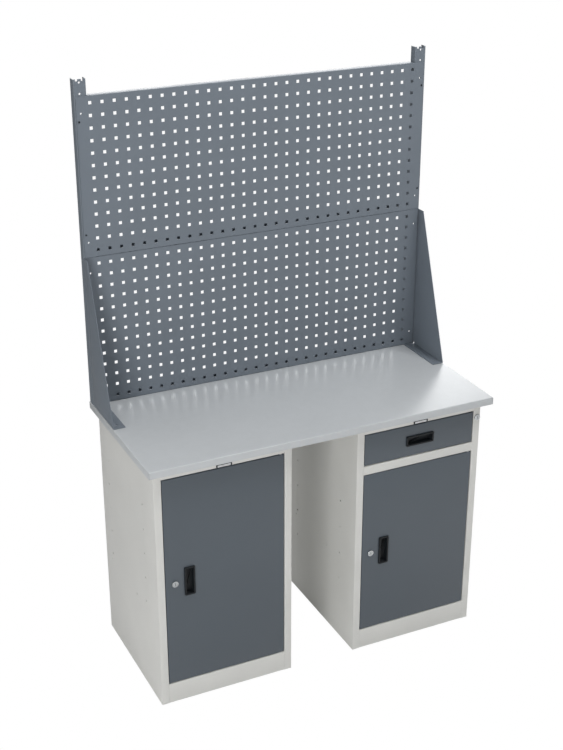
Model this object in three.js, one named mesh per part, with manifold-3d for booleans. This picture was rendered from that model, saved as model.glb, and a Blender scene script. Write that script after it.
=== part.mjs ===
// Workshop bench: two steel cabinets under a steel-covered worktop, one with a drawer,
// and a perforated tool screen standing on the worktop's back edge.
// Millimetres. X to the right, Y to the back, Z up, origin on the floor under the bench's middle.

import * as THREE from 'three';
import { mergeGeometries, mergeVertices } from 'three/addons/utils/BufferGeometryUtils.js';
import Module from 'manifold-3d';

const wasm = await Module();
wasm.setup();

// Fits
const fitGap = 0.3;              // between pieces that seat on each other or turn in each other
const doorGap = 2.5;             // round the doors and the drawer front
const cutReach = 1;              // how far a cut runs past the sheet it goes through

// Worktop
const worktopWidth = 1200;
const worktopDepth = 545;
const worktopThickness = 24;
const coverSheet = 1.5;

// Cabinets
const cabinetHeight = 844;
const cabinetWidth = 460;
const cabinetSheet = 1.2;
const cabinetEndInset = 24;      // from the worktop's end to the cabinet's side
const cabinetFrontInset = 34.5;  // from the worktop's front edge to the cabinet's front
const cabinetBackInset = 12.5;   // from the worktop's back edge to the cabinet's back
const stileWidth = 25;
const frameReturn = 22;          // how deep the stiles and rails fold back
const rearFlange = 15;
const footFlange = 20;
const floorFlange = 20;
const topRailHeight = 30;
const plinthHeight = 72.5;
const midRailHeight = 32;
const drawerOpeningHeight = 114;

// Holes in the cabinet sides
const sideHoleRadius = 3;
const shelfHoleFront = 107;      // from the cabinet's front to the front row
const shelfHoleBack = 72;        // from the cabinet's back to the back row
const leftShelfHoles = { lowest: 333, pitch: 88, count: 5 };
const rightShelfHoles = { lowest: 228, pitch: 100, count: 4 };

// Shelves and their support angles
const supportHeight = 307;       // of the support's fastening holes above the ground
const supportHoleFront = 198;    // from the cabinet's front to the support's front hole
const supportHoleBack = 62;      // from the cabinet's back to its back hole
const supportLeg = 30;
const supportFoot = 18;
const supportInset = 20;         // from the shelf's front and back lips to the support's ends
const shelfFrontInset = 42;
const shelfBackGap = 2;
const shelfSideGap = 1;
const shelfLip = 22;

// Doors and drawer front
const frontDepth = 20;
const frontSheet = 1.2;
const frontLip = 15;             // turned in round the pan's back
const hingeInset = 10;           // from the door's right edge to the hinge axis
const hingeDepth = 5.5;          // from the door's face to the hinge axis
const pinRadius = 2.5;
const pinLength = 10;            // of each pin on either side of its collar
const pinCollarRadius = 5;

// Recessed pulls
const pullLength = 101;
const pullWidth = 35;
const pullProud = 5;
const pullCorner = 3;
const pullRim = 3.5;             // rim that lies on the sheet round the cup
const pullCupDepth = 14;
const pullWall = 1.5;
const pullInset = 79.5;          // from the door's left edge to the pull's middle

// Cam locks
const lockFlangeRadius = 10.5;
const lockFlangeProud = 4.5;
const lockBodyRadius = 9;
const lockBodyLength = 16;
const lockPlugRadius = 6;
const lockNutFlats = 21.5;
const lockNutThickness = 5;
const lockInset = 30.5;          // from the door's left edge to the lock's axis
const keySlotWidth = 1.6;
const keySlotLength = 8;
const keySlotDepth = 3;
const camWidth = 14;
const camThickness = 2;
const camTail = 8;               // past the axis, away from the catch
const camBehindFrame = 1.5;      // from the stile's folded edge to the cam
const doorCamHold = 12;          // how far the turned cam reaches behind the stile
const drawerCamClear = 2;        // between the turned cam and the drawer box
const drawerLockDrop = 24;       // from the drawer opening's top to its lock

// Drawer
const drawerBoxHeight = 85;
const drawerBoxLift = 8;         // above the drawer opening's bottom
const drawerBoxLength = 440;
const drawerSheet = 1.2;
const runnerSpace = 13.5;        // beside the drawer box for one runner
const runnerLength = 440;
const runnerHeight = 45;
const runnerSheet = 1.2;
const runnerPlay = 0.6;          // between the runner's nested members
const runnerStart = 26;          // from the cabinet's front to the runner's front end
const runnerLift = 37;           // from the drawer box's bottom to the runner's middle
const runnerBracketHeight = 60;
const runnerBracketSheet = 1.5;
const runnerBracketLength = 450;

// Small plates on the top rails
const plateWidth = 52;
const plateHeight = 16;
const plateThickness = 2.5;
const plateCorner = 3;
const plateLift = 9;             // from the rail's lower edge to the plate's middle

// Tool screen
const uprightHeight = 1050;
const uprightWidth = 40;
const uprightDepth = 26;
const uprightSheet = 2;
const uprightEndInset = 1;       // from the worktop's end to the upright
const uprightNotchWidth = 7;
const uprightNotchDepth = 6;
const uprightNotchSpacing = 18;
const hangHoleDrop = 10;         // from the upright's top to its upper hole
const hangHoleSpacing = 33.6;
const boltHoleRadius = 3;
const boltInset = 20;            // from the worktop's end to the column of bolt holes
const panelBackInset = 34.5;     // from the worktop's back edge to the panel's face
const panelSheet = 1.5;
const panelModule = 500;
const panelSeam = 1;
const panelEndInset = 6;         // from the worktop's end to the panel's edge
const panelFlange = 26.5;
const panelLip = 20;             // turned in along the flange's back edge
const panelFlangeGap = 2;        // from the panel's flange to the upright
const panelBoltLowest = 48;      // above the panel module's bottom
const panelBoltSpacing = 400;
const holeSize = 10;
const holePitch = 38;
const holeSideMargin = 8;        // from the upright to the outermost holes' middles
const holeEdgeMargin = 21.5;     // from the panel's edge to the outermost holes' middles

// Side brackets of the screen
const bracketSheet = 2;
const bracketHeight = 498.5;
const bracketFoot = 200;
const bracketHead = 30;
const bracketHoleInset = 27;
const bracketRelief = 6;         // square notch at the back end of the fold
const bracketReliefInset = 4;    // from the heel to the notch

// Number of flats that stand for a round face
const lockSides = 16;
const pinSides = 12;
const nutSides = 6;
const boltHoleSides = 8;
const sideHoleSides = 6;
const cornerSteps = 3;

// Levels and planes that follow from the sizes above
const worktopTop = cabinetHeight + worktopThickness;
const worktopFront = -worktopDepth / 2;
const worktopBack = worktopDepth / 2;
const cabinetCentre = worktopWidth / 2 - cabinetEndInset - cabinetWidth / 2;
const cabinetFront = worktopFront + cabinetFrontInset;
const cabinetBack = worktopBack - cabinetBackInset;
const cabinetHalf = cabinetWidth / 2;
const cabinetTop = cabinetHeight - fitGap;
const wallInside = cabinetHalf - cabinetSheet;
const openingHalf = cabinetHalf - stileWidth;
const openingTop = cabinetHeight - topRailHeight;
const drawerOpeningBottom = openingTop - drawerOpeningHeight;
const midRailBottom = drawerOpeningBottom - midRailHeight;
const returnEdge = cabinetFront + frameReturn;
const backPanelFront = cabinetBack - 2 * cabinetSheet - fitGap;
const camFront = returnEdge + camBehindFrame;
const doorHalf = openingHalf - doorGap;
const hingeX = doorHalf - hingeInset;
const hingeY = cabinetFront + hingeDepth;
const panelFace = worktopBack - panelBackInset;
const uprightFront = panelFace + panelSheet + fitGap;
const uprightOutside = worktopWidth / 2 - uprightEndInset;
const uprightInside = uprightOutside - uprightWidth;
const boltX = worktopWidth / 2 - boltInset;

// Finishes
function paint(color, roughness, metalness) {
  return new THREE.MeshStandardMaterial({ color, roughness, metalness });
}
const finishes = {
  lightPaint: () => paint(0xc6c6c2, 0.5, 0.1),
  slatePaint: () => paint(0x565c64, 0.5, 0.1),
  screenPaint: () => paint(0x70777d, 0.5, 0.1),
  coverSteel: () => paint(0xb4b8ba, 0.35, 0.9),
  board: () => paint(0xb08d5f, 0.8, 0),
  blackPlastic: () => paint(0x17191a, 0.45, 0),
  chrome: () => paint(0xc9ccd0, 0.15, 1),
  zincSteel: () => paint(0xa9adb0, 0.4, 0.9),
};

// Solids: closed meshes that can be joined and cut
function solid(geometry) {
  const bare = geometry.clone();
  bare.deleteAttribute('normal');
  bare.deleteAttribute('uv');
  const merged = mergeVertices(bare);
  const triangles = [];
  for (let i = 0; i < merged.index.count; i += 3) {
    const corners = [0, 1, 2].map((k) => merged.index.getX(i + k));
    if (new Set(corners).size === 3) triangles.push(...corners);
  }
  return new wasm.Manifold(new wasm.Mesh({
    numProp: 3,
    vertProperties: new Float32Array(merged.attributes.position.array),
    triVerts: new Uint32Array(triangles),
  }));
}

function join(...bodies) {
  return bodies.reduce((whole, body) => whole.add(body));
}

function cut(body, tools) {
  return tools.reduce((whole, tool) => whole.subtract(tool), body);
}

function piece(name, body, finish) {
  const mesh = body.getMesh();
  const geometry = new THREE.BufferGeometry();
  geometry.setAttribute('position', new THREE.BufferAttribute(mesh.vertProperties, 3));
  geometry.setIndex(new THREE.BufferAttribute(mesh.triVerts, 1));
  geometry.computeVertexNormals();
  const part = new THREE.Mesh(geometry, finish());
  part.name = name;
  return part;
}

// Outlines and the shapes made from them
function outline(points) {
  return new THREE.Shape(points.map(([a, b]) => new THREE.Vector2(a, b)));
}

function roundedRectangle(width, height, radius) {
  const shape = new THREE.Shape();
  const a = width / 2 - radius;
  const b = height / 2 - radius;
  shape.absarc(a, b, radius, 0, Math.PI / 2);
  shape.absarc(-a, b, radius, Math.PI / 2, Math.PI);
  shape.absarc(-a, -b, radius, Math.PI, 1.5 * Math.PI);
  shape.absarc(a, -b, radius, 1.5 * Math.PI, 2 * Math.PI);
  return shape;
}

function extrude(shape, depth) {
  return new THREE.ExtrudeGeometry(shape, { depth, bevelEnabled: false, curveSegments: cornerSteps });
}

// Outline in X and Y, run upwards from z0 to z1
function alongZ(shape, z0, z1) {
  return solid(extrude(shape, z1 - z0).translate(0, 0, z0));
}

// Outline in X and Z, run backwards from y0 to y1
function alongY(shape, y0, y1) {
  const turn = new THREE.Matrix4().set(1, 0, 0, 0, 0, 0, -1, y1, 0, 1, 0, 0, 0, 0, 0, 1);
  return solid(extrude(shape, y1 - y0).applyMatrix4(turn));
}

// Outline in Y and Z, run to the right from x0 to x1
function alongX(shape, x0, x1) {
  const turn = new THREE.Matrix4().set(0, 0, 1, x0, 1, 0, 0, 0, 0, 1, 0, 0, 0, 0, 0, 1);
  return solid(extrude(shape, x1 - x0).applyMatrix4(turn));
}

function box(x0, x1, y0, y1, z0, z1) {
  const geometry = new THREE.BoxGeometry(x1 - x0, y1 - y0, z1 - z0);
  return solid(geometry.translate((x0 + x1) / 2, (y0 + y1) / 2, (z0 + z1) / 2));
}

// Bar with flats for a round face, its middle line along Y
function barAlongY(radius, sides, x, y0, y1, z) {
  const geometry = new THREE.CylinderGeometry(radius, radius, y1 - y0, sides);
  return solid(geometry.translate(x, (y0 + y1) / 2, z));
}

function barAlongX(radius, sides, x0, x1, y, z) {
  const geometry = new THREE.CylinderGeometry(radius, radius, x1 - x0, sides);
  return solid(geometry.rotateZ(Math.PI / 2).translate((x0 + x1) / 2, y, z));
}

function barAlongZ(radius, sides, x, y, z0, z1) {
  const geometry = new THREE.CylinderGeometry(radius, radius, z1 - z0, sides);
  return solid(geometry.rotateX(Math.PI / 2).translate(x, y, (z0 + z1) / 2));
}

// Radius of a many-sided hole whose flats clear a round bar by the fit gap
function holeFor(radius, sides) {
  return (radius + fitGap) / Math.cos(Math.PI / sides);
}

// Square channel, open to the back, lying along X
function channelAlongX(halfLength, z0, z1) {
  const inside = cabinetFront + cabinetSheet;
  const shape = outline([
    [cabinetFront, z0], [returnEdge, z0], [returnEdge, z0 + cabinetSheet], [inside, z0 + cabinetSheet],
    [inside, z1 - cabinetSheet], [returnEdge, z1 - cabinetSheet], [returnEdge, z1], [cabinetFront, z1],
  ]);
  return alongX(shape, -halfLength, halfLength);
}

// Hole for a hinge pin through the horizontal sheet between z0 and z1
function pinHole(z0, z1) {
  return barAlongZ(holeFor(pinRadius, pinSides), pinSides, hingeX, hingeY, z0 - cutReach, z1 + cutReach);
}

// Worktop
function worktop() {
  const group = new THREE.Group();
  const halfWidth = worktopWidth / 2;
  const innerHalf = halfWidth - coverSheet;
  const innerFront = worktopFront + coverSheet;
  const innerBack = worktopBack - coverSheet;
  const underCover = worktopTop - coverSheet;
  const block = box(-halfWidth, halfWidth, worktopFront, worktopBack, cabinetHeight, worktopTop);
  const hollow = box(-innerHalf, innerHalf, innerFront, innerBack, cabinetHeight - cutReach, underCover);
  const board = box(
    -innerHalf + fitGap, innerHalf - fitGap, innerFront + fitGap, innerBack - fitGap,
    cabinetHeight, underCover - fitGap,
  );
  group.add(piece('worktop_cover', block.subtract(hollow), finishes.coverSteel));
  group.add(piece('worktop_board', board, finishes.board));
  return group;
}

// Cabinet side: folded stile in front, flange at the back, feet and top flange turned in
function cabinetSide(side, shelfHoles) {
  const inside = cabinetHalf - stileWidth;
  const plan = [
    [cabinetHalf, cabinetFront],
    [cabinetHalf, cabinetBack],
    [cabinetHalf - rearFlange, cabinetBack],
    [cabinetHalf - rearFlange, cabinetBack - cabinetSheet],
    [wallInside, cabinetBack - cabinetSheet],
    [wallInside, cabinetFront + cabinetSheet],
    [inside + cabinetSheet, cabinetFront + cabinetSheet],
    [inside + cabinetSheet, returnEdge],
    [inside, returnEdge],
    [inside, cabinetFront],
  ];
  const wall = alongZ(outline(plan.map(([x, y]) => [side * x, y])), 0, cabinetTop);
  const flange = (z0, z1) => {
    const edges = [side * (cabinetHalf - footFlange), side * (cabinetHalf - cabinetSheet / 2)];
    const [x0, x1] = edges.sort((a, b) => a - b);
    return box(x0, x1, cabinetFront + cabinetSheet / 2, backPanelFront - fitGap, z0, z1);
  };
  const foot = flange(0, cabinetSheet);
  const head = flange(cabinetTop - cabinetSheet, cabinetTop);
  return cut(join(wall, foot, head), sideHoles(side, shelfHoles));
}

function sideHoles(side, shelfHoles) {
  const places = [
    [cabinetFront + supportHoleFront, supportHeight],
    [cabinetBack - supportHoleBack, supportHeight],
  ];
  for (let i = 0; i < shelfHoles.count; i += 1) {
    const z = shelfHoles.lowest + i * shelfHoles.pitch;
    places.push([cabinetFront + shelfHoleFront, z], [cabinetBack - shelfHoleBack, z]);
  }
  const [x0, x1] = [side * (wallInside - cutReach), side * (cabinetHalf + cutReach)].sort((a, b) => a - b);
  return places.map(([y, z]) => barAlongX(sideHoleRadius, sideHoleSides, x0, x1, y, z));
}

function cabinetFloor() {
  const half = wallInside - fitGap;
  const inner = half - cabinetSheet;
  const under = plinthHeight - cabinetSheet;
  const low = plinthHeight - floorFlange;
  const shape = outline([
    [-half, low], [-inner, low], [-inner, under], [inner, under],
    [inner, low], [half, low], [half, plinthHeight], [-half, plinthHeight],
  ]);
  return alongY(shape, returnEdge + fitGap, backPanelFront - fitGap);
}

function cabinetBackPanel() {
  const half = wallInside - fitGap;
  return box(-half, half, backPanelFront, backPanelFront + cabinetSheet, 0, cabinetTop);
}

// Shelf with lips turned down in front and behind, on two angles along the cabinet's sides
const shelfUnder = supportHeight + supportLeg / 2 + fitGap;
const shelfFront = cabinetFront + shelfFrontInset;
const shelfBack = backPanelFront - shelfBackGap;

function shelf() {
  const half = wallInside - shelfSideGap;
  const top = shelfUnder + cabinetSheet;
  const low = top - shelfLip;
  const shape = outline([
    [shelfFront, low], [shelfFront + cabinetSheet, low], [shelfFront + cabinetSheet, shelfUnder],
    [shelfBack - cabinetSheet, shelfUnder], [shelfBack - cabinetSheet, low], [shelfBack, low],
    [shelfBack, top], [shelfFront, top],
  ]);
  return alongX(shape, -half, half);
}

function shelfSupport(side) {
  const outer = wallInside - fitGap;
  const top = shelfUnder - fitGap;
  const low = top - supportLeg;
  const profile = [
    [outer, low], [outer, top], [outer - supportFoot, top], [outer - supportFoot, top - cabinetSheet],
    [outer - cabinetSheet, top - cabinetSheet], [outer - cabinetSheet, low],
  ];
  const shape = outline(profile.map(([x, z]) => [side * x, z]));
  return alongY(shape, shelfFront + supportInset, shelfBack - supportInset);
}

// Blank plate on the top rail
function namePlate() {
  const shape = roundedRectangle(plateWidth, plateHeight, plateCorner);
  const face = cabinetFront - fitGap;
  return alongY(shape, face - plateThickness, face).translate([0, 0, openingTop + plateLift]);
}

function cabinetShell(label, shelfHoles, hingeRailTop, rightStileCuts) {
  const group = new THREE.Group();
  const railHalf = openingHalf - fitGap;
  const name = (word) => `${label}_cabinet_${word}`;
  const topRail = channelAlongX(railHalf, openingTop, cabinetTop);
  const plinth = channelAlongX(railHalf, 0, plinthHeight);
  const topHole = pinHole(openingTop, openingTop + cabinetSheet);
  const plinthHole = pinHole(plinthHeight - cabinetSheet, plinthHeight);
  const railIsHinge = hingeRailTop === openingTop;
  group.add(piece(name('left_side'), cabinetSide(-1, shelfHoles), finishes.lightPaint));
  const rightSide = cut(cabinetSide(1, shelfHoles), rightStileCuts);
  group.add(piece(name('right_side'), rightSide, finishes.lightPaint));
  group.add(piece(name('back'), cabinetBackPanel(), finishes.lightPaint));
  group.add(piece(name('floor'), cabinetFloor(), finishes.lightPaint));
  group.add(piece(name('plinth'), plinth.subtract(plinthHole), finishes.lightPaint));
  group.add(piece(name('top_rail'), railIsHinge ? topRail.subtract(topHole) : topRail, finishes.lightPaint));
  group.add(piece(name('shelf'), shelf(), finishes.lightPaint));
  group.add(piece(name('shelf_support_left'), shelfSupport(-1), finishes.zincSteel));
  group.add(piece(name('shelf_support_right'), shelfSupport(1), finishes.zincSteel));
  group.add(piece(`${label}_name_plate`, namePlate(), finishes.blackPlastic));
  return group;
}

function midRail() {
  const rail = channelAlongX(openingHalf - fitGap, midRailBottom, drawerOpeningBottom);
  return rail.subtract(pinHole(midRailBottom, midRailBottom + cabinetSheet));
}

// Folded pan between two levels of the opening, with a lip turned in round its open back
function frontPan(z0, z1) {
  const back = cabinetFront + frontDepth;
  const block = box(-doorHalf, doorHalf, cabinetFront, back, z0, z1);
  const hollowHalf = doorHalf - frontSheet;
  const hollow = box(
    -hollowHalf, hollowHalf, cabinetFront + frontSheet, back - frontSheet, z0 + frontSheet, z1 - frontSheet,
  );
  const windowHalf = doorHalf - frontLip;
  const window = box(
    -windowHalf, windowHalf, back - frontSheet - cutReach, back + cutReach, z0 + frontLip, z1 - frontLip,
  );
  return cut(block, [hollow, window]);
}

// Recessed pull, standing upright, with its middle at the origin and the sheet's face at Y = 0
const pullCupWidth = pullWidth - 2 * pullRim;
const pullCupLength = pullLength - 2 * pullRim;

function pull() {
  const rim = alongY(roundedRectangle(pullWidth, pullLength, pullCorner), -pullProud, -fitGap);
  const cup = box(
    -pullCupWidth / 2, pullCupWidth / 2, -pullProud / 2, pullCupDepth, -pullCupLength / 2, pullCupLength / 2,
  );
  const halfWidth = pullCupWidth / 2 - pullWall;
  const halfLength = pullCupLength / 2 - pullWall;
  const recess = box(
    -halfWidth, halfWidth, -pullProud - cutReach, pullCupDepth - pullWall, -halfLength, halfLength,
  );
  return join(rim, cup).subtract(recess);
}

// Opening in the sheet for a pull at (x, z); lying pulls have their length along X
function pullOpening(x, z, lying) {
  const halfA = pullCupWidth / 2 + fitGap;
  const halfB = pullCupLength / 2 + fitGap;
  const halfX = lying ? halfB : halfA;
  const halfZ = lying ? halfA : halfB;
  const behind = cabinetFront + frontSheet + cutReach;
  return box(x - halfX, x + halfX, cabinetFront - cutReach, behind, z - halfZ, z + halfZ);
}

function lockOpening(x, z, sheet) {
  const radius = holeFor(lockBodyRadius, lockSides);
  return barAlongY(radius, lockSides, x, cabinetFront - cutReach, cabinetFront + sheet + cutReach, z);
}

// Cam lock with its axis on Y through the origin and the sheet's face at Y = 0
function lockHousing() {
  const flange = barAlongY(lockFlangeRadius, lockSides, 0, -lockFlangeProud, -fitGap, 0);
  const body = barAlongY(lockBodyRadius, lockSides, 0, -lockFlangeProud / 2, lockBodyLength, 0);
  const boreRadius = holeFor(lockPlugRadius, lockSides);
  const bore = barAlongY(boreRadius, lockSides, 0, -lockFlangeProud - cutReach, lockBodyLength + cutReach, 0);
  return join(flange, body).subtract(bore);
}

function lockNut(sheet) {
  const radius = lockNutFlats / 2 / Math.cos(Math.PI / nutSides);
  const y0 = sheet + fitGap;
  const y1 = y0 + lockNutThickness;
  const nut = barAlongY(radius, nutSides, 0, y0, y1, 0);
  const bore = barAlongY(holeFor(lockBodyRadius, lockSides), lockSides, 0, y0 - cutReach, y1 + cutReach, 0);
  return nut.subtract(bore);
}

// Plug with its key slot and the cam that points up while unlocked
function lockPlug(camReach) {
  const face = -lockFlangeProud + fitGap;
  const camStart = camFront - cabinetFront;
  const camEnd = camStart + camThickness;
  const plug = barAlongY(lockPlugRadius, lockSides, 0, face, camEnd, 0);
  const cam = box(-camWidth / 2, camWidth / 2, camStart, camEnd, -camTail, camReach);
  const slot = box(
    -keySlotWidth / 2, keySlotWidth / 2, face - cutReach, face + keySlotDepth,
    -keySlotLength / 2, keySlotLength / 2,
  );
  return join(plug, cam).subtract(slot);
}

function camLock(label, sheet, camReach) {
  const group = new THREE.Group();
  group.add(piece(`${label}_lock_housing`, lockHousing(), finishes.chrome));
  group.add(piece(`${label}_lock_nut`, lockNut(sheet), finishes.zincSteel));
  group.add(piece(`${label}_lock_plug`, lockPlug(camReach), finishes.chrome));
  return group;
}

// Hinge pin with a collar in the gap between the door and the frame
function hingePin(gapBottom, gapTop) {
  const pin = barAlongZ(pinRadius, pinSides, hingeX, hingeY, gapBottom - pinLength, gapTop + pinLength);
  const collar = barAlongZ(pinCollarRadius, pinSides, hingeX, hingeY, gapBottom + fitGap, gapTop - fitGap);
  return pin.add(collar);
}

// Door between two levels of the opening, hinged on its right edge
function door(label, openingLow, openingHigh) {
  const group = new THREE.Group();
  const z0 = openingLow + doorGap;
  const z1 = openingHigh - doorGap;
  const middle = (openingLow + openingHigh) / 2;
  const pullX = -doorHalf + pullInset;
  const lockX = -doorHalf + lockInset;
  const panel = cut(frontPan(z0, z1), [
    pullOpening(pullX, middle, false),
    lockOpening(lockX, middle, frontSheet),
    pinHole(z0, z0 + frontSheet),
    pinHole(z1 - frontSheet, z1),
  ]);
  const handle = piece(`${label}_door_pull`, pull(), finishes.blackPlastic);
  handle.position.set(pullX, cabinetFront, middle);
  const lock = camLock(`${label}_door`, frontSheet, lockX + openingHalf + doorCamHold);
  lock.position.set(lockX, cabinetFront, middle);
  group.add(piece(`${label}_door_panel`, panel, finishes.slatePaint));
  group.add(piece(`${label}_door_lower_pin`, hingePin(openingLow, z0), finishes.zincSteel));
  group.add(piece(`${label}_door_upper_pin`, hingePin(z1, openingHigh), finishes.zincSteel));
  group.add(handle, lock);
  return group;
}

// Drawer box and its telescopic runners
const drawerBoxHalf = openingHalf - runnerSpace;
const drawerBoxBottom = drawerOpeningBottom + drawerBoxLift;
const drawerBoxFront = cabinetFront + frontDepth + fitGap;
const runnerMiddle = drawerBoxBottom + runnerLift;

function drawerBox() {
  const back = drawerBoxFront + drawerBoxLength;
  const top = drawerBoxBottom + drawerBoxHeight;
  const block = box(-drawerBoxHalf, drawerBoxHalf, drawerBoxFront, back, drawerBoxBottom, top);
  const hollow = box(
    -drawerBoxHalf + drawerSheet, drawerBoxHalf - drawerSheet, drawerBoxFront + drawerSheet,
    back - drawerSheet, drawerBoxBottom + drawerSheet, top + cutReach,
  );
  return block.subtract(hollow);
}

// Channel along Y with its web at x = web and its legs reaching to x = tip
function runnerChannel(web, tip, height, sheet, length) {
  const inner = web + Math.sign(tip - web) * sheet;
  const low = runnerMiddle - height / 2;
  const high = runnerMiddle + height / 2;
  const shape = outline([
    [web, low], [tip, low], [tip, low + sheet], [inner, low + sheet],
    [inner, high - sheet], [tip, high - sheet], [tip, high], [web, high],
  ]);
  const start = cabinetFront + runnerStart;
  return alongY(shape, start, start + length);
}

function drawerRunner(side) {
  const group = new THREE.Group();
  const word = side < 0 ? 'left' : 'right';
  const nest = 2 * (runnerSheet + runnerPlay);
  const outer = openingHalf - fitGap;
  const boxSide = drawerBoxHalf + fitGap;
  const middleWeb = outer - runnerSheet - runnerPlay;
  const openTip = boxSide + runnerSheet + runnerPlay;
  const innerTip = middleWeb - runnerSheet - runnerPlay;
  const member = (web, tip, height) => runnerChannel(
    side * web, side * tip, height, runnerSheet, runnerLength,
  );
  const bracket = runnerChannel(
    side * openingHalf, side * (wallInside - fitGap), runnerBracketHeight, runnerBracketSheet,
    runnerBracketLength,
  );
  const fixedMember = member(outer, openTip, runnerHeight);
  const middleMember = member(middleWeb, openTip, runnerHeight - nest);
  const innerMember = member(boxSide, innerTip, runnerHeight - 2 * nest);
  group.add(piece(`drawer_runner_bracket_${word}`, bracket, finishes.lightPaint));
  group.add(piece(`drawer_runner_fixed_${word}`, fixedMember, finishes.zincSteel));
  group.add(piece(`drawer_runner_middle_${word}`, middleMember, finishes.zincSteel));
  group.add(piece(`drawer_runner_inner_${word}`, innerMember, finishes.zincSteel));
  return group;
}

function drawer() {
  const group = new THREE.Group();
  const z0 = drawerOpeningBottom + doorGap;
  const z1 = openingTop - doorGap;
  const middle = (z0 + z1) / 2;
  const panel = frontPan(z0, z1).subtract(pullOpening(0, middle, true));
  const handle = piece('drawer_pull', pull(), finishes.blackPlastic);
  handle.position.set(0, cabinetFront, middle);
  handle.rotation.y = Math.PI / 2;
  group.add(piece('drawer_front', panel, finishes.slatePaint));
  group.add(piece('drawer_box', drawerBox(), finishes.lightPaint));
  group.add(handle, drawerRunner(-1), drawerRunner(1));
  return group;
}

// Left cabinet: one tall door
function leftCabinet() {
  const group = cabinetShell('left', leftShelfHoles, openingTop, []);
  group.add(door('left', plinthHeight, openingTop));
  group.position.x = -cabinetCentre;
  return group;
}

// Right cabinet: a drawer over a shorter door, the drawer's lock in the right stile
const drawerLockX = openingHalf + stileWidth / 2;
const drawerLockZ = openingTop - drawerLockDrop;

function rightCabinet() {
  const lockHole = lockOpening(drawerLockX, drawerLockZ, cabinetSheet);
  const group = cabinetShell('right', rightShelfHoles, midRailBottom, [lockHole]);
  group.add(piece('right_cabinet_mid_rail', midRail(), finishes.lightPaint));
  group.add(door('right', plinthHeight, midRailBottom), drawer());
  const lock = camLock('drawer', cabinetSheet, drawerLockX - drawerBoxHalf - drawerCamClear);
  lock.position.set(drawerLockX, cabinetFront, drawerLockZ);
  group.add(lock);
  group.position.x = cabinetCentre;
  return group;
}

// Tool screen
const boltHeights = [0, panelModule].flatMap((base) => [
  worktopTop + base + panelBoltLowest,
  worktopTop + base + panelBoltLowest + panelBoltSpacing,
]);

function boltHole(x, y0, y1, z) {
  return barAlongY(boltHoleRadius, boltHoleSides, x, y0 - cutReach, y1 + cutReach, z);
}

function upright(side) {
  const back = uprightFront + uprightDepth;
  const plan = [
    [uprightOutside, uprightFront], [uprightOutside, back], [uprightOutside - uprightSheet, back],
    [uprightOutside - uprightSheet, uprightFront + uprightSheet],
    [uprightInside + uprightSheet, uprightFront + uprightSheet], [uprightInside + uprightSheet, back],
    [uprightInside, back], [uprightInside, uprightFront],
  ];
  const top = worktopTop + uprightHeight;
  const shape = outline(plan.map(([x, y]) => [side * x, y]));
  const heights = [...boltHeights, top - hangHoleDrop, top - hangHoleDrop - hangHoleSpacing];
  const web = [uprightFront, uprightFront + uprightSheet];
  const holes = heights.map((z) => boltHole(side * boltX, ...web, z));
  const notches = [-1, 1].map((way) => {
    const x = side * (uprightInside + uprightOutside) / 2 + way * uprightNotchSpacing / 2;
    const half = uprightNotchWidth / 2;
    const [y0, y1] = [uprightFront - cutReach, uprightFront + uprightSheet + cutReach];
    return box(x - half, x + half, y0, y1, top - uprightNotchDepth, top + cutReach);
  });
  return cut(alongZ(shape, worktopTop + fitGap, top), [...holes, ...notches]);
}

// Grid of square punches that go through the panel, its middle at height middleZ
function punches(columns, rows, middleZ) {
  const firstX = -((columns - 1) * holePitch) / 2;
  const firstZ = middleZ - ((rows - 1) * holePitch) / 2;
  const depth = panelSheet + 2 * cutReach;
  const blocks = [];
  for (let row = 0; row < rows; row += 1) {
    for (let column = 0; column < columns; column += 1) {
      const block = new THREE.BoxGeometry(holeSize, depth, holeSize);
      const y = panelFace + panelSheet / 2;
      blocks.push(block.translate(firstX + column * holePitch, y, firstZ + row * holePitch));
    }
  }
  return solid(mergeGeometries(blocks));
}

// Perforated panel, its top and bottom edges folded back between the uprights, then in
function screenPanel(base) {
  const half = worktopWidth / 2 - panelEndInset;
  const low = base + panelSeam / 2;
  const high = base + panelModule - panelSeam / 2;
  const fieldHalf = uprightInside - holeSideMargin;
  const columns = Math.floor((2 * fieldHalf) / holePitch) + 1;
  const rows = Math.floor((high - low - 2 * holeEdgeMargin) / holePitch) + 1;
  const flangeHalf = uprightInside - panelFlangeGap;
  const back = panelFace + panelFlange;
  const fold = (flangeLow, lipLow) => join(
    box(-flangeHalf, flangeHalf, panelFace + panelSheet / 2, back, flangeLow, flangeLow + panelSheet),
    box(-flangeHalf, flangeHalf, back - panelSheet, back, lipLow, lipLow + panelLip),
  );
  const sheet = box(-half, half, panelFace, panelFace + panelSheet, low, high);
  const bolts = [panelBoltLowest, panelBoltLowest + panelBoltSpacing].flatMap((z) => [-1, 1].map(
    (side) => boltHole(side * boltX, panelFace, panelFace + panelSheet, base + z),
  ));
  const holes = punches(columns, rows, (low + high) / 2);
  const folds = [fold(low, low), fold(high - panelSheet, high - panelLip)];
  return cut(join(sheet, ...folds), [holes, ...bolts]);
}

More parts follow.
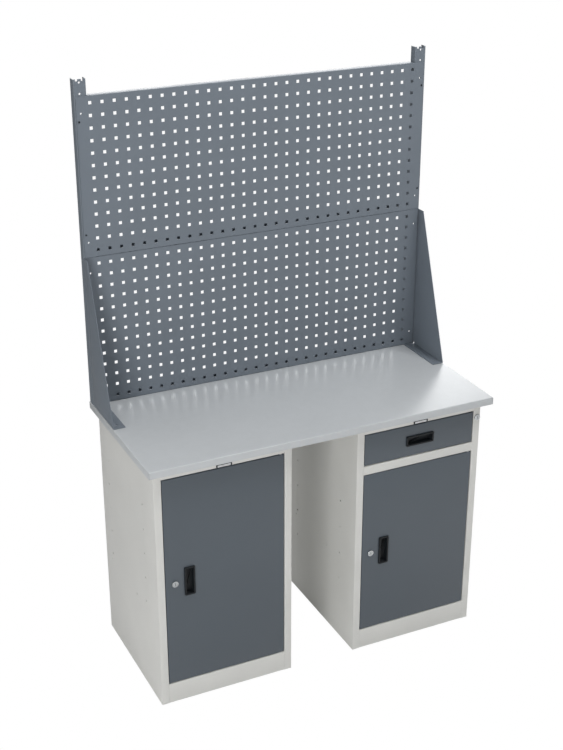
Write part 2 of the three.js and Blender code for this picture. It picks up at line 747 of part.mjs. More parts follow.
// Sloping side bracket with a foot that lies on the worktop
function bracket(side) {
  const low = worktopTop + fitGap;
  const high = worktopTop + bracketHeight;
  const toe = panelFace - bracketFoot;
  const heel = uprightFront - fitGap;
  const face = outline([[toe, low], [heel, low], [heel, high], [panelFace - bracketHead, high]]);
  const span = (a, b) => [side * a, side * b].sort((p, q) => p - q);
  const plate = alongX(face, ...span(uprightOutside - bracketSheet, uprightOutside));
  const footSpan = span(uprightInside, uprightOutside - bracketSheet / 2);
  const foot = box(...footSpan, toe, panelFace - fitGap, low, low + bracketSheet);
  const holeZ = [low - cutReach, low + bracketSheet + cutReach];
  const hole = barAlongZ(
    boltHoleRadius, boltHoleSides, side * boltX, toe + bracketHoleInset, ...holeZ,
  );
  const reliefBack = heel - bracketReliefInset;
  const relief = box(
    ...span(uprightOutside - bracketRelief, uprightOutside + cutReach),
    reliefBack - bracketRelief, reliefBack, low - cutReach, low + bracketRelief,
  );
  return cut(join(plate, foot), [hole, relief]);
}

function toolScreen() {
  const group = new THREE.Group();
  group.add(piece('left_upright', upright(-1), finishes.screenPaint));
  group.add(piece('right_upright', upright(1), finishes.screenPaint));
  group.add(piece('lower_panel', screenPanel(worktopTop), finishes.screenPaint));
  group.add(piece('upper_panel', screenPanel(worktopTop + panelModule), finishes.screenPaint));
  group.add(piece('left_bracket', bracket(-1), finishes.screenPaint));
  group.add(piece('right_bracket', bracket(1), finishes.screenPaint));
  return group;
}

const bench = new THREE.Group();
bench.add(worktop(), leftCabinet(), rightCabinet(), toolScreen());

export default bench;
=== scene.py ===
"""Looks of a workshop bench with two cabinets, a drawer and a perforated tool screen.

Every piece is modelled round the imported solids, in metres and in their frame: X to the right,
Y to the back, Z up, with the origin on the floor under the middle of the bench.
"""

import functools
import logging
import math
from dataclasses import dataclass, field
from enum import Enum
from typing import Callable, Iterable, Self, Sequence

import bpy
from mathutils import Matrix, Vector


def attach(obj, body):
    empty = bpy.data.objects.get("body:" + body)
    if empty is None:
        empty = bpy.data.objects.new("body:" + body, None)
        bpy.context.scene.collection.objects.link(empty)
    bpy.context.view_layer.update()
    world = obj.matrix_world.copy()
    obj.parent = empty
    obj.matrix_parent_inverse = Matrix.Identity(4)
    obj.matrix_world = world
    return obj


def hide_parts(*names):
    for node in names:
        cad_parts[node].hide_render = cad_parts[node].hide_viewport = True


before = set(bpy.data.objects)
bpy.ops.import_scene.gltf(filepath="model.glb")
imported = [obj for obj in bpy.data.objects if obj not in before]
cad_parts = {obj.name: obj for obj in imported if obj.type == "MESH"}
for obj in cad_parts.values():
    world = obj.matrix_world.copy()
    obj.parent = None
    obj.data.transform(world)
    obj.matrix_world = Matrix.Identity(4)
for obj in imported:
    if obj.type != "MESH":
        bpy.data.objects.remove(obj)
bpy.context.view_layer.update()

LOG = logging.getLogger("bench")

Point = Sequence[float]
Span = tuple[float, float]
Triple = tuple[float, float, float]
Profile = list[Span]
Socket = bpy.types.NodeSocket
Sockets = bpy.types.bpy_prop_collection
PlaceTest = Callable[[Vector], bool]
EndsTest = Callable[[Vector, Vector], bool]

# Small measures
FIT = 0.0003          # between pieces that seat on each other
REACH = 0.002         # how far a cutting tool runs past the sheet it goes through
NEAR = 0.00005        # two places closer than this are the same
BURR = 0.0003         # rounding of a cut sheet's edges
FACING = 0.9          # share of an axis in the normal of a face that looks along it
SHARP = 35.0          # edges over this angle in degrees are shaded sharp

# Sizes that several pieces share
SHEET = 0.0012        # sheet of the cabinets, the doors and the drawer
GAP = 0.0025          # round the doors and the drawer
CABINET_X = 0.346     # middle of each cabinet, to the left and right of the bench's middle
CABINET_HALF = 0.23   # half the width of a cabinet
STILE = 0.025         # width of the stile folded on each side of a cabinet
INSIDE_HALF = CABINET_HALF - SHEET
OPENING_HALF = CABINET_HALF - STILE
FRONT_HALF = OPENING_HALF - GAP
FRONT_Y = -0.238      # face of the cabinets, the doors and the drawer
FRONT_DEPTH = 0.02    # of the doors and the drawer front
PLINTH_TOP = 0.0725
MID_RAIL = (0.668, 0.7)
OPENING_TOP = 0.814
WORKTOP = (0.844, 0.868)


class Axis(Enum):
    """A direction of the bench's frame."""

    X = 0
    Y = 1
    Z = 2

    @property
    def unit(self) -> Vector:
        """Unit vector along the axis."""
        return Vector([1.0 if i == self.value else 0.0 for i in range(3)])

    @property
    def others(self) -> list["Axis"]:
        """The two other axes, in the order X, Y, Z."""
        return [axis for axis in Axis if axis is not self]

    @property
    def tilt(self) -> Triple:
        """Turn that lays what stands upright along the axis."""
        quarter = math.pi / 2
        return {Axis.X: (0.0, quarter, 0.0), Axis.Y: (quarter, 0.0, 0.0), Axis.Z: (0.0, 0.0, 0.0)}[self]


class Side(Enum):
    """Which hand of the bench or of a cabinet a piece belongs to."""

    LEFT = -1
    RIGHT = 1

    @property
    def word(self) -> str:
        """The side's name in lower case."""
        return self.name.lower()


class Pick(Enum):
    """What a selection in edit mode is made of: its select mode and the mesh's list of such items."""

    POINT = ("VERT", "vertices")
    EDGE = ("EDGE", "edges")
    FACE = ("FACE", "polygons")


def near(a: float, b: float) -> bool:
    """Tell whether two lengths are the same place."""
    return abs(a - b) < NEAR


def about(middle: float, size: float) -> Span:
    """Give the two ends of a size that is centred on a middle."""
    return middle - size / 2, middle + size / 2


def start_afresh() -> None:
    """Leave edit mode and deselect every object."""
    active = bpy.context.object
    if active is not None and active.mode != "OBJECT":
        bpy.ops.object.mode_set(mode="OBJECT")
    bpy.ops.object.select_all(action="DESELECT")


def placed(profile: Profile, side: Side, middle: float = 0.0) -> Profile:
    """Turn a right-hand fold profile into the given side's, with its hollow still on the left.

    Args:
        profile: Corner points of the right-hand piece, from the middle outwards.
        side: The side that the piece is for.
        middle: Where the middle between both sides lies on X.

    Returns:
        The profile about the middle, or its mirror image in reverse order.
    """
    if side is Side.RIGHT:
        return [(middle + u, v) for u, v in profile]
    return [(middle - u, v) for u, v in reversed(profile)]


class Workpiece:
    """A mesh that starts as a primitive and is shaped with edit-mode operators."""

    def __init__(self, name: str) -> None:
        """Take over the primitive that was just added and put its place into its mesh.

        Args:
            name: Name of the piece.
        """
        bpy.ops.object.transform_apply(location=True, rotation=True, scale=True)
        self.obj: bpy.types.Object = bpy.context.object
        self.obj.name = name
        self.obj.data.name = name

    @classmethod
    def block(cls, name: str, x: Span, y: Span, z: Span) -> Self:
        """Add a cube that fills three spans.

        Args:
            name: Name of the piece.
            x: Its two ends on X, in any order.
            y: Its two ends on Y, in any order.
            z: Its two ends on Z, in any order.

        Returns:
            The new piece.
        """
        low = Vector([min(span) for span in (x, y, z)])
        high = Vector([max(span) for span in (x, y, z)])
        start_afresh()
        bpy.ops.mesh.primitive_cube_add(size=1.0, location=(low + high) / 2)
        bpy.context.object.scale = high - low
        return cls(name)

    @classmethod
    def bar(
        cls, name: str, axis: Axis, radius: float, start: Point, length: float, sides: int = 32
    ) -> Self:
        """Add a round bar.

        Args:
            name: Name of the piece.
            axis: Axis that the bar lies along.
            radius: Radius of the bar.
            start: Middle of its end on the lower side of the axis.
            length: Length of the bar.
            sides: Number of flats round the bar.

        Returns:
            The new piece.
        """
        middle = Vector(start) + axis.unit * (length / 2)
        start_afresh()
        bpy.ops.mesh.primitive_cylinder_add(
            vertices=sides, radius=radius, depth=length, location=middle, rotation=axis.tilt
        )
        return cls(name)

    @classmethod
    def drill(cls, axis: Axis, radius: float, place: Point, depth: float, sides: int = 32) -> Self:
        """Make the tool for a round hole.

        Args:
            axis: Axis that the hole lies along.
            radius: Radius of the hole.
            place: Middle of the hole on the sheet's lower side of the axis.
            depth: How deep the hole goes from there.
            sides: Number of flats round the hole.

        Returns:
            The tool, which runs past both ends of the hole.
        """
        start = Vector(place) - axis.unit * REACH
        return cls.bar("drill", axis, radius, start, depth + 2 * REACH, sides)

    @classmethod
    def folded(cls, name: str, run: Axis, ends: Span, profile: Profile, *bends: float) -> Self:
        """Fold a strip along parallel lines: a plane, extruded edge by edge, with rounded bends.

        Args:
            name: Name of the piece.
            run: Axis that the fold lines are parallel to.
            ends: Where the strip starts and ends on that axis.
            profile: Outer corners in the two other axes, with the hollow on the left of the way round.
            bends: Outer radius of the bends, one for all or one for each corner in the profile's order.

        Returns:
            The folded strip, before it gets its thickness.
        """
        across, up = (axis.unit for axis in run.others)
        corners = [across * u + up * v for u, v in profile]
        first = corners[1] - corners[0]
        step = first.normalized()
        outwards = across * step.dot(up) - up * step.dot(across)
        turn = Matrix((step, outwards.cross(step), outwards)).transposed().to_euler()
        middle = (corners[0] + corners[1]) / 2 + run.unit * (sum(ends) / 2)
        start_afresh()
        bpy.ops.mesh.primitive_plane_add(size=1.0, location=middle, rotation=turn)
        bpy.context.object.scale = (first.length, ends[1] - ends[0], 1.0)
        piece = cls(name)
        for here, there in zip(corners[1:], corners[2:]):
            piece.pick_fold(run, here).extrude(there - here)
        inner = corners[1:-1]
        radii = bends * len(inner) if len(bends) == 1 else bends
        for corner, radius in zip(inner, radii):
            piece.pick_fold(run, corner).bevel(radius)
        return piece

    @classmethod
    def bundle(cls, pieces: Sequence[Self]) -> Self:
        """Put meshes into one object as they are, such as the tools of one cut.

        Args:
            pieces: The pieces; the first takes in the others.

        Returns:
            The first piece.
        """
        pieces[0].activate()
        for piece in pieces[1:]:
            piece.obj.select_set(True)
        bpy.ops.object.join()
        return pieces[0]

    def activate(self) -> Self:
        """Leave edit mode and make this piece the only selected object.

        Returns:
            This piece.
        """
        start_afresh()
        self.obj.select_set(True)
        bpy.context.view_layer.objects.active = self.obj
        return self

    def _pick(self, kind: Pick, test: Callable[[bpy.types.bpy_struct], bool]) -> Self:
        """Select the points, edges or faces that pass a test, and stay in edit mode.

        Args:
            kind: What the selection is made of.
            test: Tells whether a point, edge or face of the mesh is wanted.

        Returns:
            This piece.
        """
        mode, items = kind.value
        self.activate()
        bpy.ops.object.mode_set(mode="EDIT")
        bpy.ops.mesh.select_mode(type=mode)
        bpy.ops.mesh.select_all(action="DESELECT")
        bpy.ops.object.mode_set(mode="OBJECT")
        for item in getattr(self.obj.data, items):
            item.select = test(item)
        bpy.ops.object.mode_set(mode="EDIT")
        return self

    def pick_points(self, test: PlaceTest) -> Self:
        """Select the points whose place passes the test."""
        return self._pick(Pick.POINT, lambda point: test(point.co))

    def pick_edges(self, test: EndsTest) -> Self:
        """Select the edges whose two ends pass the test together."""
        mesh = self.obj.data
        return self._pick(Pick.EDGE, lambda edge: test(*(mesh.vertices[i].co for i in edge.vertices)))

    def pick_edges_at(self, test: PlaceTest) -> Self:
        """Select the edges whose ends both lie at places that pass the test."""
        return self.pick_edges(lambda a, b: test(a) and test(b))

    def pick_level(self, axis: Axis, level: float) -> Self:
        """Select the edges that lie at one level of an axis."""
        return self.pick_edges_at(lambda place: near(place[axis.value], level))

    def pick_along(self, axis: Axis) -> Self:
        """Select the edges of a block that run along an axis."""
        return self.pick_edges(lambda a, b: not near(a[axis.value], b[axis.value]))

    def pick_fold(self, run: Axis, corner: Vector) -> Self:
        """Select the edges of a fold line.

        Args:
            run: Axis that the line is parallel to.
            corner: A point of the line, with nothing on that axis.

        Returns:
            This piece.
        """
        flat = Vector((1, 1, 1)) - run.unit
        return self.pick_edges_at(lambda place: (place * flat - corner).length < NEAR)

    def pick_facing(self, axis: Axis, way: int) -> Self:
        """Select the faces that look along an axis, forwards (1) or backwards (-1)."""
        return self._pick(Pick.FACE, lambda face: way * face.normal[axis.value] > FACING)

    def pick_all(self) -> Self:
        """Select the whole mesh.

        Returns:
            This piece.
        """
        self.activate()
        bpy.ops.object.mode_set(mode="EDIT")
        bpy.ops.mesh.select_all(action="SELECT")
        return self

    def extrude(self, shift: Point) -> Self:
        """Extrude what is selected by a shift."""
        bpy.ops.mesh.extrude_region_move(TRANSFORM_OT_translate={"value": Vector(shift)})
        return self

    def inset(self, margin: float) -> Self:
        """Inset the selected faces by a margin."""
        bpy.ops.mesh.inset(thickness=margin, use_boundary=True, use_even_offset=True)
        return self

    def bevel(self, width: float, segments: int = 3) -> Self:
        """Round the selected edges."""
        bpy.ops.mesh.bevel(offset=width, segments=segments, affect="EDGES", clamp_overlap=True)
        return self

    def move(self, shift: Point) -> Self:
        """Move what is selected by a shift."""
        bpy.ops.transform.translate(value=Vector(shift))
        return self

    def delete_faces(self) -> Self:
        """Delete the selected faces."""
        bpy.ops.mesh.delete(type="FACE")
        return self

    def bisect(self, place: Point, normal: Point) -> Self:
        """Add an edge line where a plane crosses the selected faces."""
        bpy.ops.mesh.bisect(plane_co=Vector(place), plane_no=Vector(normal))
        return self

    def _apply(self, kind: str, **settings: object) -> Self:
        """Add a modifier, set its values and apply it.

        Args:
            kind: The modifier's type.
            settings: Its values.

        Returns:
            This piece.
        """
        self.activate()
        modifier = self.obj.modifiers.new(kind.lower(), kind)
        for name, value in settings.items():
            setattr(modifier, name, value)
        bpy.ops.object.modifier_apply(modifier=modifier.name)
        return self

    def thicken(self, sheet: float) -> Self:
        """Give a folded sheet its thickness, towards the hollow."""
        return self._apply(
            "SOLIDIFY", thickness=sheet, offset=-1.0, use_even_offset=True, use_quality_normals=True
        )

    def soften(self, width: float, segments: int = 1, angle: float = 50.0) -> Self:
        """Round every edge that is sharper than an angle in degrees."""
        return self._apply(
            "BEVEL", width=width, segments=segments, limit_method="ANGLE", angle_limit=math.radians(angle)
        )

    def repeat(self, count: int, shift: Point) -> Self:
        """Repeat the mesh in a row and merge what meets."""
        return self._apply(
            "ARRAY", count=count, use_relative_offset=False, use_constant_offset=True,
            constant_offset_displace=Vector(shift), use_merge_vertices=True, merge_threshold=NEAR,
        )

    def _boolean(self, others: Iterable[Self], operation: str) -> Self:
        """Join or cut this mesh with other meshes, which are then gone.

        Args:
            others: The other pieces.
            operation: The boolean modifier's operation.

        Returns:
            This piece.
        """
        for other in others:
            self._apply("BOOLEAN", operation=operation, object=other.obj, solver="EXACT")
            bpy.data.objects.remove(other.obj)
        return self

    def cut(self, *tools: Self) -> Self:
        """Cut the tools' shapes out of this piece."""
        return self._boolean(tools, "DIFFERENCE")

    def weld(self, *others: Self) -> Self:
        """Join other pieces to this one in one skin."""
        return self._boolean(others, "UNION")

    def copy(self, name: str, shift: Point) -> Self:
        """Copy the piece with a mesh of its own.

        Args:
            name: Name of the copy.
            shift: Where the copy lies from the piece.

        Returns:
            The copy.
        """
        self.activate()
        bpy.ops.object.duplicate(linked=False)
        bpy.ops.transform.translate(value=Vector(shift))
        return type(self)(name)

    def turned(self, angle: float, axis: Axis, centre: Point) -> Self:
        """Turn the mesh about a line through a point.

        Args:
            angle: Angle in radians.
            axis: Axis that the line is parallel to.
            centre: A point of the line.

        Returns:
            This piece.
        """
        self.pick_all()
        bpy.ops.transform.rotate(
            value=-angle, orient_axis=axis.name, orient_type="GLOBAL", center_override=Vector(centre)
        )
        return self.activate()

    def fit(self, body: str, finish: "Finish", *nodes: str) -> None:
        """Shade and paint the finished piece and hang it on its body in place of its solids.

        Args:
            body: Body that the piece moves with.
            finish: Its finish.
            nodes: Solids that it stands for.
        """
        self.activate()
        bpy.ops.object.shade_smooth_by_angle(angle=math.radians(SHARP))
        self.obj.data.materials.clear()
        self.obj.data.materials.append(finish.material())
        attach(self.obj, body)
        if nodes:
            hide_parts(*nodes)
        LOG.info("%s rides on %s in %s", self.obj.name, body, finish.slot)


NOISE_SPAN = (0.3, 0.7)         # the range that a noise factor mostly keeps to
ROLLING = (6.0, 900.0, 900.0)   # scale of the rolling lines, which are long on X and fine across it
WHITE = (1.0, 1.0, 1.0, 1.0)


class NodeBoard:
    """A node tree with short words for adding and linking nodes."""

    def __init__(self, tree: bpy.types.NodeTree) -> None:
        """Start from an empty tree.

        Args:
            tree: The tree to work on.
        """
        self.tree = tree
        tree.nodes.clear()

    def feed(self, target: Socket, source: object) -> None:
        """Link an input to a socket, or set it to a plain value.

        Args:
            target: The input.
            source: The socket or the value.
        """
        if isinstance(source, Socket):
            self.tree.links.new(source, target)
        else:
            target.default_value = source

    def add(
        self, kind: str, inputs: dict[str | int, object] | None = None, **settings: object
    ) -> bpy.types.Node:
        """Add a node.

        Args:
            kind: The node's type, without its ShaderNode prefix.
            inputs: What its inputs get, by name or number: a socket to link or a plain value.
            settings: Its own properties.

        Returns:
            The node.
        """
        prefix = "" if kind.startswith("NodeGroup") else "ShaderNode"
        node = self.tree.nodes.new(prefix + kind)
        for name, value in settings.items():
            setattr(node, name, value)
        for name, value in (inputs or {}).items():
            self.feed(node.inputs[name], value)
        return node

    def noise(
        self, vector: Socket, scale: Socket | float, detail: float, roughness: float = 0.55
    ) -> Socket:
        """Add a noise texture.

        Args:
            vector: Where it is measured.
            scale: How fine it is.
            detail: How many finer layers lie over it.
            roughness: How strong each finer layer is.

        Returns:
            Its factor.
        """
        inputs = {"Vector": vector, "Scale": scale, "Detail": detail, "Roughness": roughness}
        return self.add("TexNoise", inputs).outputs["Fac"]

    def along(self, place: Socket, way: Point) -> Socket:
        """Measure how far a place lies along a direction."""
        return self.add("VectorMath", {0: place, 1: way}, operation="DOT_PRODUCT").outputs["Value"]

    def ramp(self, source: Socket, span: Span, low: Socket | float, high: Socket | float) -> Socket:
        """Go from one value to another while a source crosses a span.

        Args:
            source: What is measured.
            span: Where the change starts and ends.
            low: Value before it.
            high: Value after it.

        Returns:
            The changing value.
        """
        start, end = span
        inputs = {"Value": source, "From Min": start, "From Max": end, "To Min": low, "To Max": high}
        return self.add("MapRange", inputs).outputs["Result"]

    def vary(self, colour: Socket, factor: Socket, amount: Socket | float) -> Socket:
        """Darken and lighten a colour with a noise factor.

        Args:
            colour: The colour.
            factor: The factor.
            amount: The share by which the colour changes either way.

        Returns:
            The varied colour.
        """
        darkest = self.add("Math", {0: 1.0, 1: amount}, operation="SUBTRACT").outputs[0]
        lightest = self.add("Math", {0: 1.0, 1: amount}, operation="ADD").outputs[0]
        shade = self.ramp(factor, NOISE_SPAN, darkest, lightest)
        return self.add("VectorMath", {0: colour, "Scale": shade}, operation="SCALE").outputs["Vector"]

    def backdrop(self, lit: Socket, shown: Socket, output: str) -> None:
        """Show the camera one shader and light the object with another.

        Args:
            lit: The shader that lights the object.
            shown: The shader that the camera sees.
            output: The output node's type.
        """
        seen = self.add("LightPath").outputs["Is Camera Ray"]
        mix = self.add("MixShader", {"Fac": seen, 1: lit, 2: shown})
        self.add(output, {"Surface": mix.outputs["Shader"]})


def start_group(name: str, *values: str) -> tuple[NodeBoard, Sockets, Sockets]:
    """Start a node group that turns a place and a colour into a surface's grain.

    Args:
        name: Name of the group.
        values: Names of the plain values that it is given.

    Returns:
        A board on the group's tree, the sockets it is given and the sockets of its result.
    """
    tree = bpy.data.node_groups.new(name, "ShaderNodeTree")
    given = {"Vector": "Vector", "Colour": "Color", **dict.fromkeys(values, "Float")}
    result = {"Colour": "Color", "Roughness": "Float", "Height": "Float"}
    for way, sockets in (("INPUT", given), ("OUTPUT", result)):
        for word, kind in sockets.items():
            tree.interface.new_socket(word, in_out=way, socket_type=f"NodeSocket{kind}")
    board = NodeBoard(tree)
    return board, board.add("NodeGroupInput").outputs, board.add("NodeGroupOutput").inputs


@functools.cache
def sprayed_grain() -> bpy.types.NodeTree:
    """Build the group for sprayed paint and moulded plastic: soft mottling over a fine pebbled skin.

    Returns:
        The group's tree.
    """
    board, given, result = start_group("sprayed_grain", "Grain", "Mottle", "Smoothest", "Roughest")
    clouds = board.noise(given["Vector"], scale=5.0, detail=3.0)
    specks = board.noise(given["Vector"], scale=2600.0, detail=1.0)
    pebbles = board.noise(given["Vector"], given["Grain"], detail=2.0, roughness=0.5)
    mottled = board.vary(given["Colour"], clouds, given["Mottle"])
    board.feed(result["Colour"], board.vary(mottled, specks, amount=0.03))
    gloss = board.ramp(clouds, NOISE_SPAN, given["Smoothest"], given["Roughest"])
    board.feed(result["Roughness"], gloss)
    board.feed(result["Height"], pebbles)
    return board.tree


@functools.cache
def rolled_metal() -> bpy.types.NodeTree:
    """Build the group for bare metal: crystal patches, fine rolling lines and uneven gloss.

    Returns:
        The group's tree.
    """
    board, given, result = start_group(
        "rolled_metal", "Patch", "Contrast", "Lines", "Smoothest", "Roughest"
    )
    inputs = {"Vector": given["Vector"], "Scale": given["Patch"], "Randomness": 1.0}
    crystals = board.add("TexVoronoi", inputs).outputs["Color"]
    tone = board.add("SeparateColor", {0: crystals}).outputs[0]
    drawn_out = board.add("Mapping", {"Vector": given["Vector"], "Scale": ROLLING})
    lines = board.noise(drawn_out.outputs["Vector"], scale=1.0, detail=3.0)
    clouds = board.noise(given["Vector"], scale=3.0, detail=4.0)
    patched = board.vary(given["Colour"], tone, given["Contrast"])
    board.feed(result["Colour"], board.vary(patched, clouds, amount=0.02))
    gloss = board.ramp(clouds, NOISE_SPAN, given["Smoothest"], given["Roughest"])
    board.feed(result["Roughness"], gloss)
    lined = board.ramp(lines, NOISE_SPAN, 0.0, 1.0)
    ridges = board.add("Math", {0: lined, 1: given["Lines"]}, operation="MULTIPLY")
    board.feed(result["Height"], ridges.outputs[0])
    return board.tree


@dataclass(frozen=True)
class Finish:
    """A surface finish, made into one material the first time it is asked for."""

    slot: str
    colour: Triple
    smoothest: float
    roughest: float
    depth: float = 0.00003  # of the grain

    def grain(self) -> tuple[bpy.types.NodeTree, dict[str, float]]:
        """Give the finish's node group and the values that only this group takes."""
        raise NotImplementedError

    def sheen(self) -> dict[str, float]:
        """Give the plain values of the shader's sockets."""
        raise NotImplementedError

    def material(self) -> bpy.types.Material:
        """Find the finish's material, or build it on first use.

        Returns:
            The material.
        """
        name = f"{self.slot}_finish"
        found = bpy.data.materials.get(name)
        if found is not None:
            return found
        made = bpy.data.materials.new(name)
        made.use_nodes = True
        board = NodeBoard(made.node_tree)
        tree, values = self.grain()
        values |= {"Smoothest": self.smoothest, "Roughest": self.roughest}
        place = board.add("TexCoord").outputs["Object"]
        inputs = {"Vector": place, "Colour": (*self.colour, 1.0), **values}
        skin = board.add("Group", inputs, node_tree=tree).outputs
        bump = board.add("Bump", {"Height": skin["Height"], "Strength": 1.0, "Distance": self.depth})
        shader = board.add("BsdfPrincipled", {
            "Base Color": skin["Colour"], "Roughness": skin["Roughness"],
            "Normal": bump.outputs["Normal"], **self.sheen(),
        })
        board.add("OutputMaterial", {"Surface": shader.outputs["BSDF"]})
        return made


@dataclass(frozen=True)
class SprayedFinish(Finish):
    """Powder coat, moulded plastic or raw board: one colour with a fine pebbled skin."""

    grain_scale: float = 900.0  # pebbles in a metre, roughly
    mottle: float = 0.03
    specular: float = 0.5

    def grain(self) -> tuple[bpy.types.NodeTree, dict[str, float]]:
        """Give the sprayed skin's group and its own values."""
        return sprayed_grain(), {"Grain": self.grain_scale, "Mottle": self.mottle}

    def sheen(self) -> dict[str, float]:
        """Give the strength of the reflections."""
        return {"Specular IOR Level": self.specular}


@dataclass(frozen=True)
class MetalFinish(Finish):
    """Bare, plated or faintly metallic sheet with patches, rolling lines and uneven gloss."""

    depth: float = 0.00001
    patch: float = 60.0  # patches in a metre, roughly
    contrast: float = 0.06
    lines: float = 0.5
    metallic: float = 1.0

    def grain(self) -> tuple[bpy.types.NodeTree, dict[str, float]]:
        """Give the metal's group and its own values."""
        return rolled_metal(), {"Patch": self.patch, "Contrast": self.contrast, "Lines": self.lines}

    def sheen(self) -> dict[str, float]:
        """Give the metal's share."""
        return {"Metallic": self.metallic}


LIGHT_PAINT = SprayedFinish(
    "light_paint", (0.60, 0.60, 0.578), smoothest=0.38, roughest=0.48, specular=0.3
)
SLATE_PAINT = SprayedFinish(
    "slate_paint", (0.065, 0.081, 0.098), smoothest=0.36, roughest=0.46, specular=0.65
)
SCREEN_PAINT = SprayedFinish(
    "screen_paint", (0.14, 0.163, 0.19), smoothest=0.36, roughest=0.46, specular=0.3
)
BLACK_PLASTIC = SprayedFinish(
    "black_plastic", (0.007, 0.009, 0.011), smoothest=0.42, roughest=0.55,
    depth=0.00002, grain_scale=1400.0, specular=0.3,
)
BOARD = SprayedFinish(
    "board", (0.19, 0.185, 0.16), smoothest=0.75, roughest=0.9,
    depth=0.0001, grain_scale=500.0, mottle=0.15,
)
COVER_STEEL = MetalFinish(
    "cover_steel", (0.475, 0.495, 0.51), smoothest=0.29, roughest=0.32,
    depth=0.0000005, patch=45.0, contrast=0.008, lines=0.1, metallic=0.06,
)
ZINC_STEEL = MetalFinish(
    "zinc_steel", (0.55, 0.56, 0.57), smoothest=0.28, roughest=0.4, patch=160.0, contrast=0.08
)
CHROME = MetalFinish(
    "chrome", (0.52, 0.54, 0.55), smoothest=0.06, roughest=0.12,
    patch=200.0, contrast=0.02, lines=0.1,
)


@dataclass
class Worktop:
    """The folded steel cover and the board inside it."""

    half_width: float = 0.6
    front: float = -0.2725
    back: float = 0.2725
    bottom: float = WORKTOP[0]
    top: float = WORKTOP[1]
    sheet: float = 0.0015
    bend: float = 0.0025
    seam: float = 0.0009  # width of the open corner seams
    seam_drop: float = 0.0035  # of the seams under the top

    def build(self) -> None:
        """Model the cover with its corner seams and dress the board's own solid."""
        width = (-self.half_width, self.half_width)
        depth = (self.front, self.back)
        cover = Workpiece.block("worktop_cover_sheet", width, depth, (self.bottom, self.top))
        cover.pick_facing(Axis.Z, -1).delete_faces()
        cover.pick_level(Axis.Z, self.top).bevel(self.bend, segments=4)
        cover.thicken(self.sheet).cut(self._seams()).soften(BURR, segments=2)
        cover.fit("bench", COVER_STEEL, "worktop_cover")
        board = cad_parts["worktop_board"]
        board.data.materials.clear()
        board.data.materials.append(BOARD.material())
        LOG.info("worktop_board keeps its solid in %s", BOARD.slot)

    def _seams(self) -> Workpiece:
        """Make the tools that open the corner seams in the front and back folds.

        Returns:
            The tools in one mesh.
        """
        outer = self.half_width - self.sheet
        height = (self.bottom - REACH, self.top - self.seam_drop)
        slots = []
        for side in Side:
            for face, way in ((self.front, 1), (self.back, -1)):
                across = (side.value * outer, side.value * (outer - self.seam))
                depth = (face - way * REACH, face + way * (self.sheet + FIT))
                slots.append(Workpiece.block("seam_tool", across, depth, height))
        return Workpiece.bundle(slots)


@dataclass
class Pull:
    """A recessed pull with its rim on the sheet and its cup behind."""

    width: float = 0.035
    length: float = 0.101
    proud: float = 0.005  # of the rim over the sheet
    corner: float = 0.003
    edge: float = 0.0014
    floor_bend: float = 0.0028
    rim: float = 0.0035  # from the outline to the cup behind it
    wall: float = 0.0015
    cup_depth: float = 0.014

    def _outline(self, centre: Point, margin: float, lying: bool) -> tuple[Span, Span]:
        """Draw the pull's outline, or a smaller one inside it.

        Args:
            centre: The pull's middle on the sheet's face.
            margin: How far inside the rim's outer edge the outline lies.
            lying: Whether the pull's length lies along X.

        Returns:
            The outline's ends on X and on Z.
        """
        sizes = [self.width - 2 * margin, self.length - 2 * margin]
        if lying:
            sizes.reverse()
        return about(centre[0], sizes[0]), about(centre[2], sizes[1])

    def tool(self, centre: Point, lying: bool) -> Workpiece:
        """Make the tool that opens a sheet for the pull's cup.

        Args:
            centre: The pull's middle on the sheet's face.
            lying: Whether its length lies along X.

        Returns:
            The tool.
        """
        x, z = self._outline(centre, self.rim - FIT, lying)
        return Workpiece.block("pull_tool", x, (centre[1] - REACH, centre[1] + 2 * REACH), z)

    def build(self, name: str, centre: Point, lying: bool) -> Workpiece:
        """Model the pull.

        Args:
            name: Name of the piece.
            centre: Its middle on the sheet's face.
            lying: Whether its length lies along X.

        Returns:
            The pull.
        """
        x, z = self._outline(centre, 0.0, lying)
        face = centre[1] - self.proud
        floor = centre[1] + self.cup_depth - self.wall
        pull = Workpiece.block(name, x, (face, centre[1] - FIT), z)
        pull.pick_along(Axis.Y).bevel(self.corner, segments=4)
        pull.pick_facing(Axis.Y, 1).inset(self.rim).extrude((0, self.cup_depth + FIT, 0))
        pull.pick_facing(Axis.Y, -1).inset(self.rim + self.wall).extrude((0, floor - face, 0))
        pull.pick_level(Axis.Y, face).bevel(self.edge)
        pull.pick_level(Axis.Y, floor).bevel(self.floor_bend)
        return pull.activate()


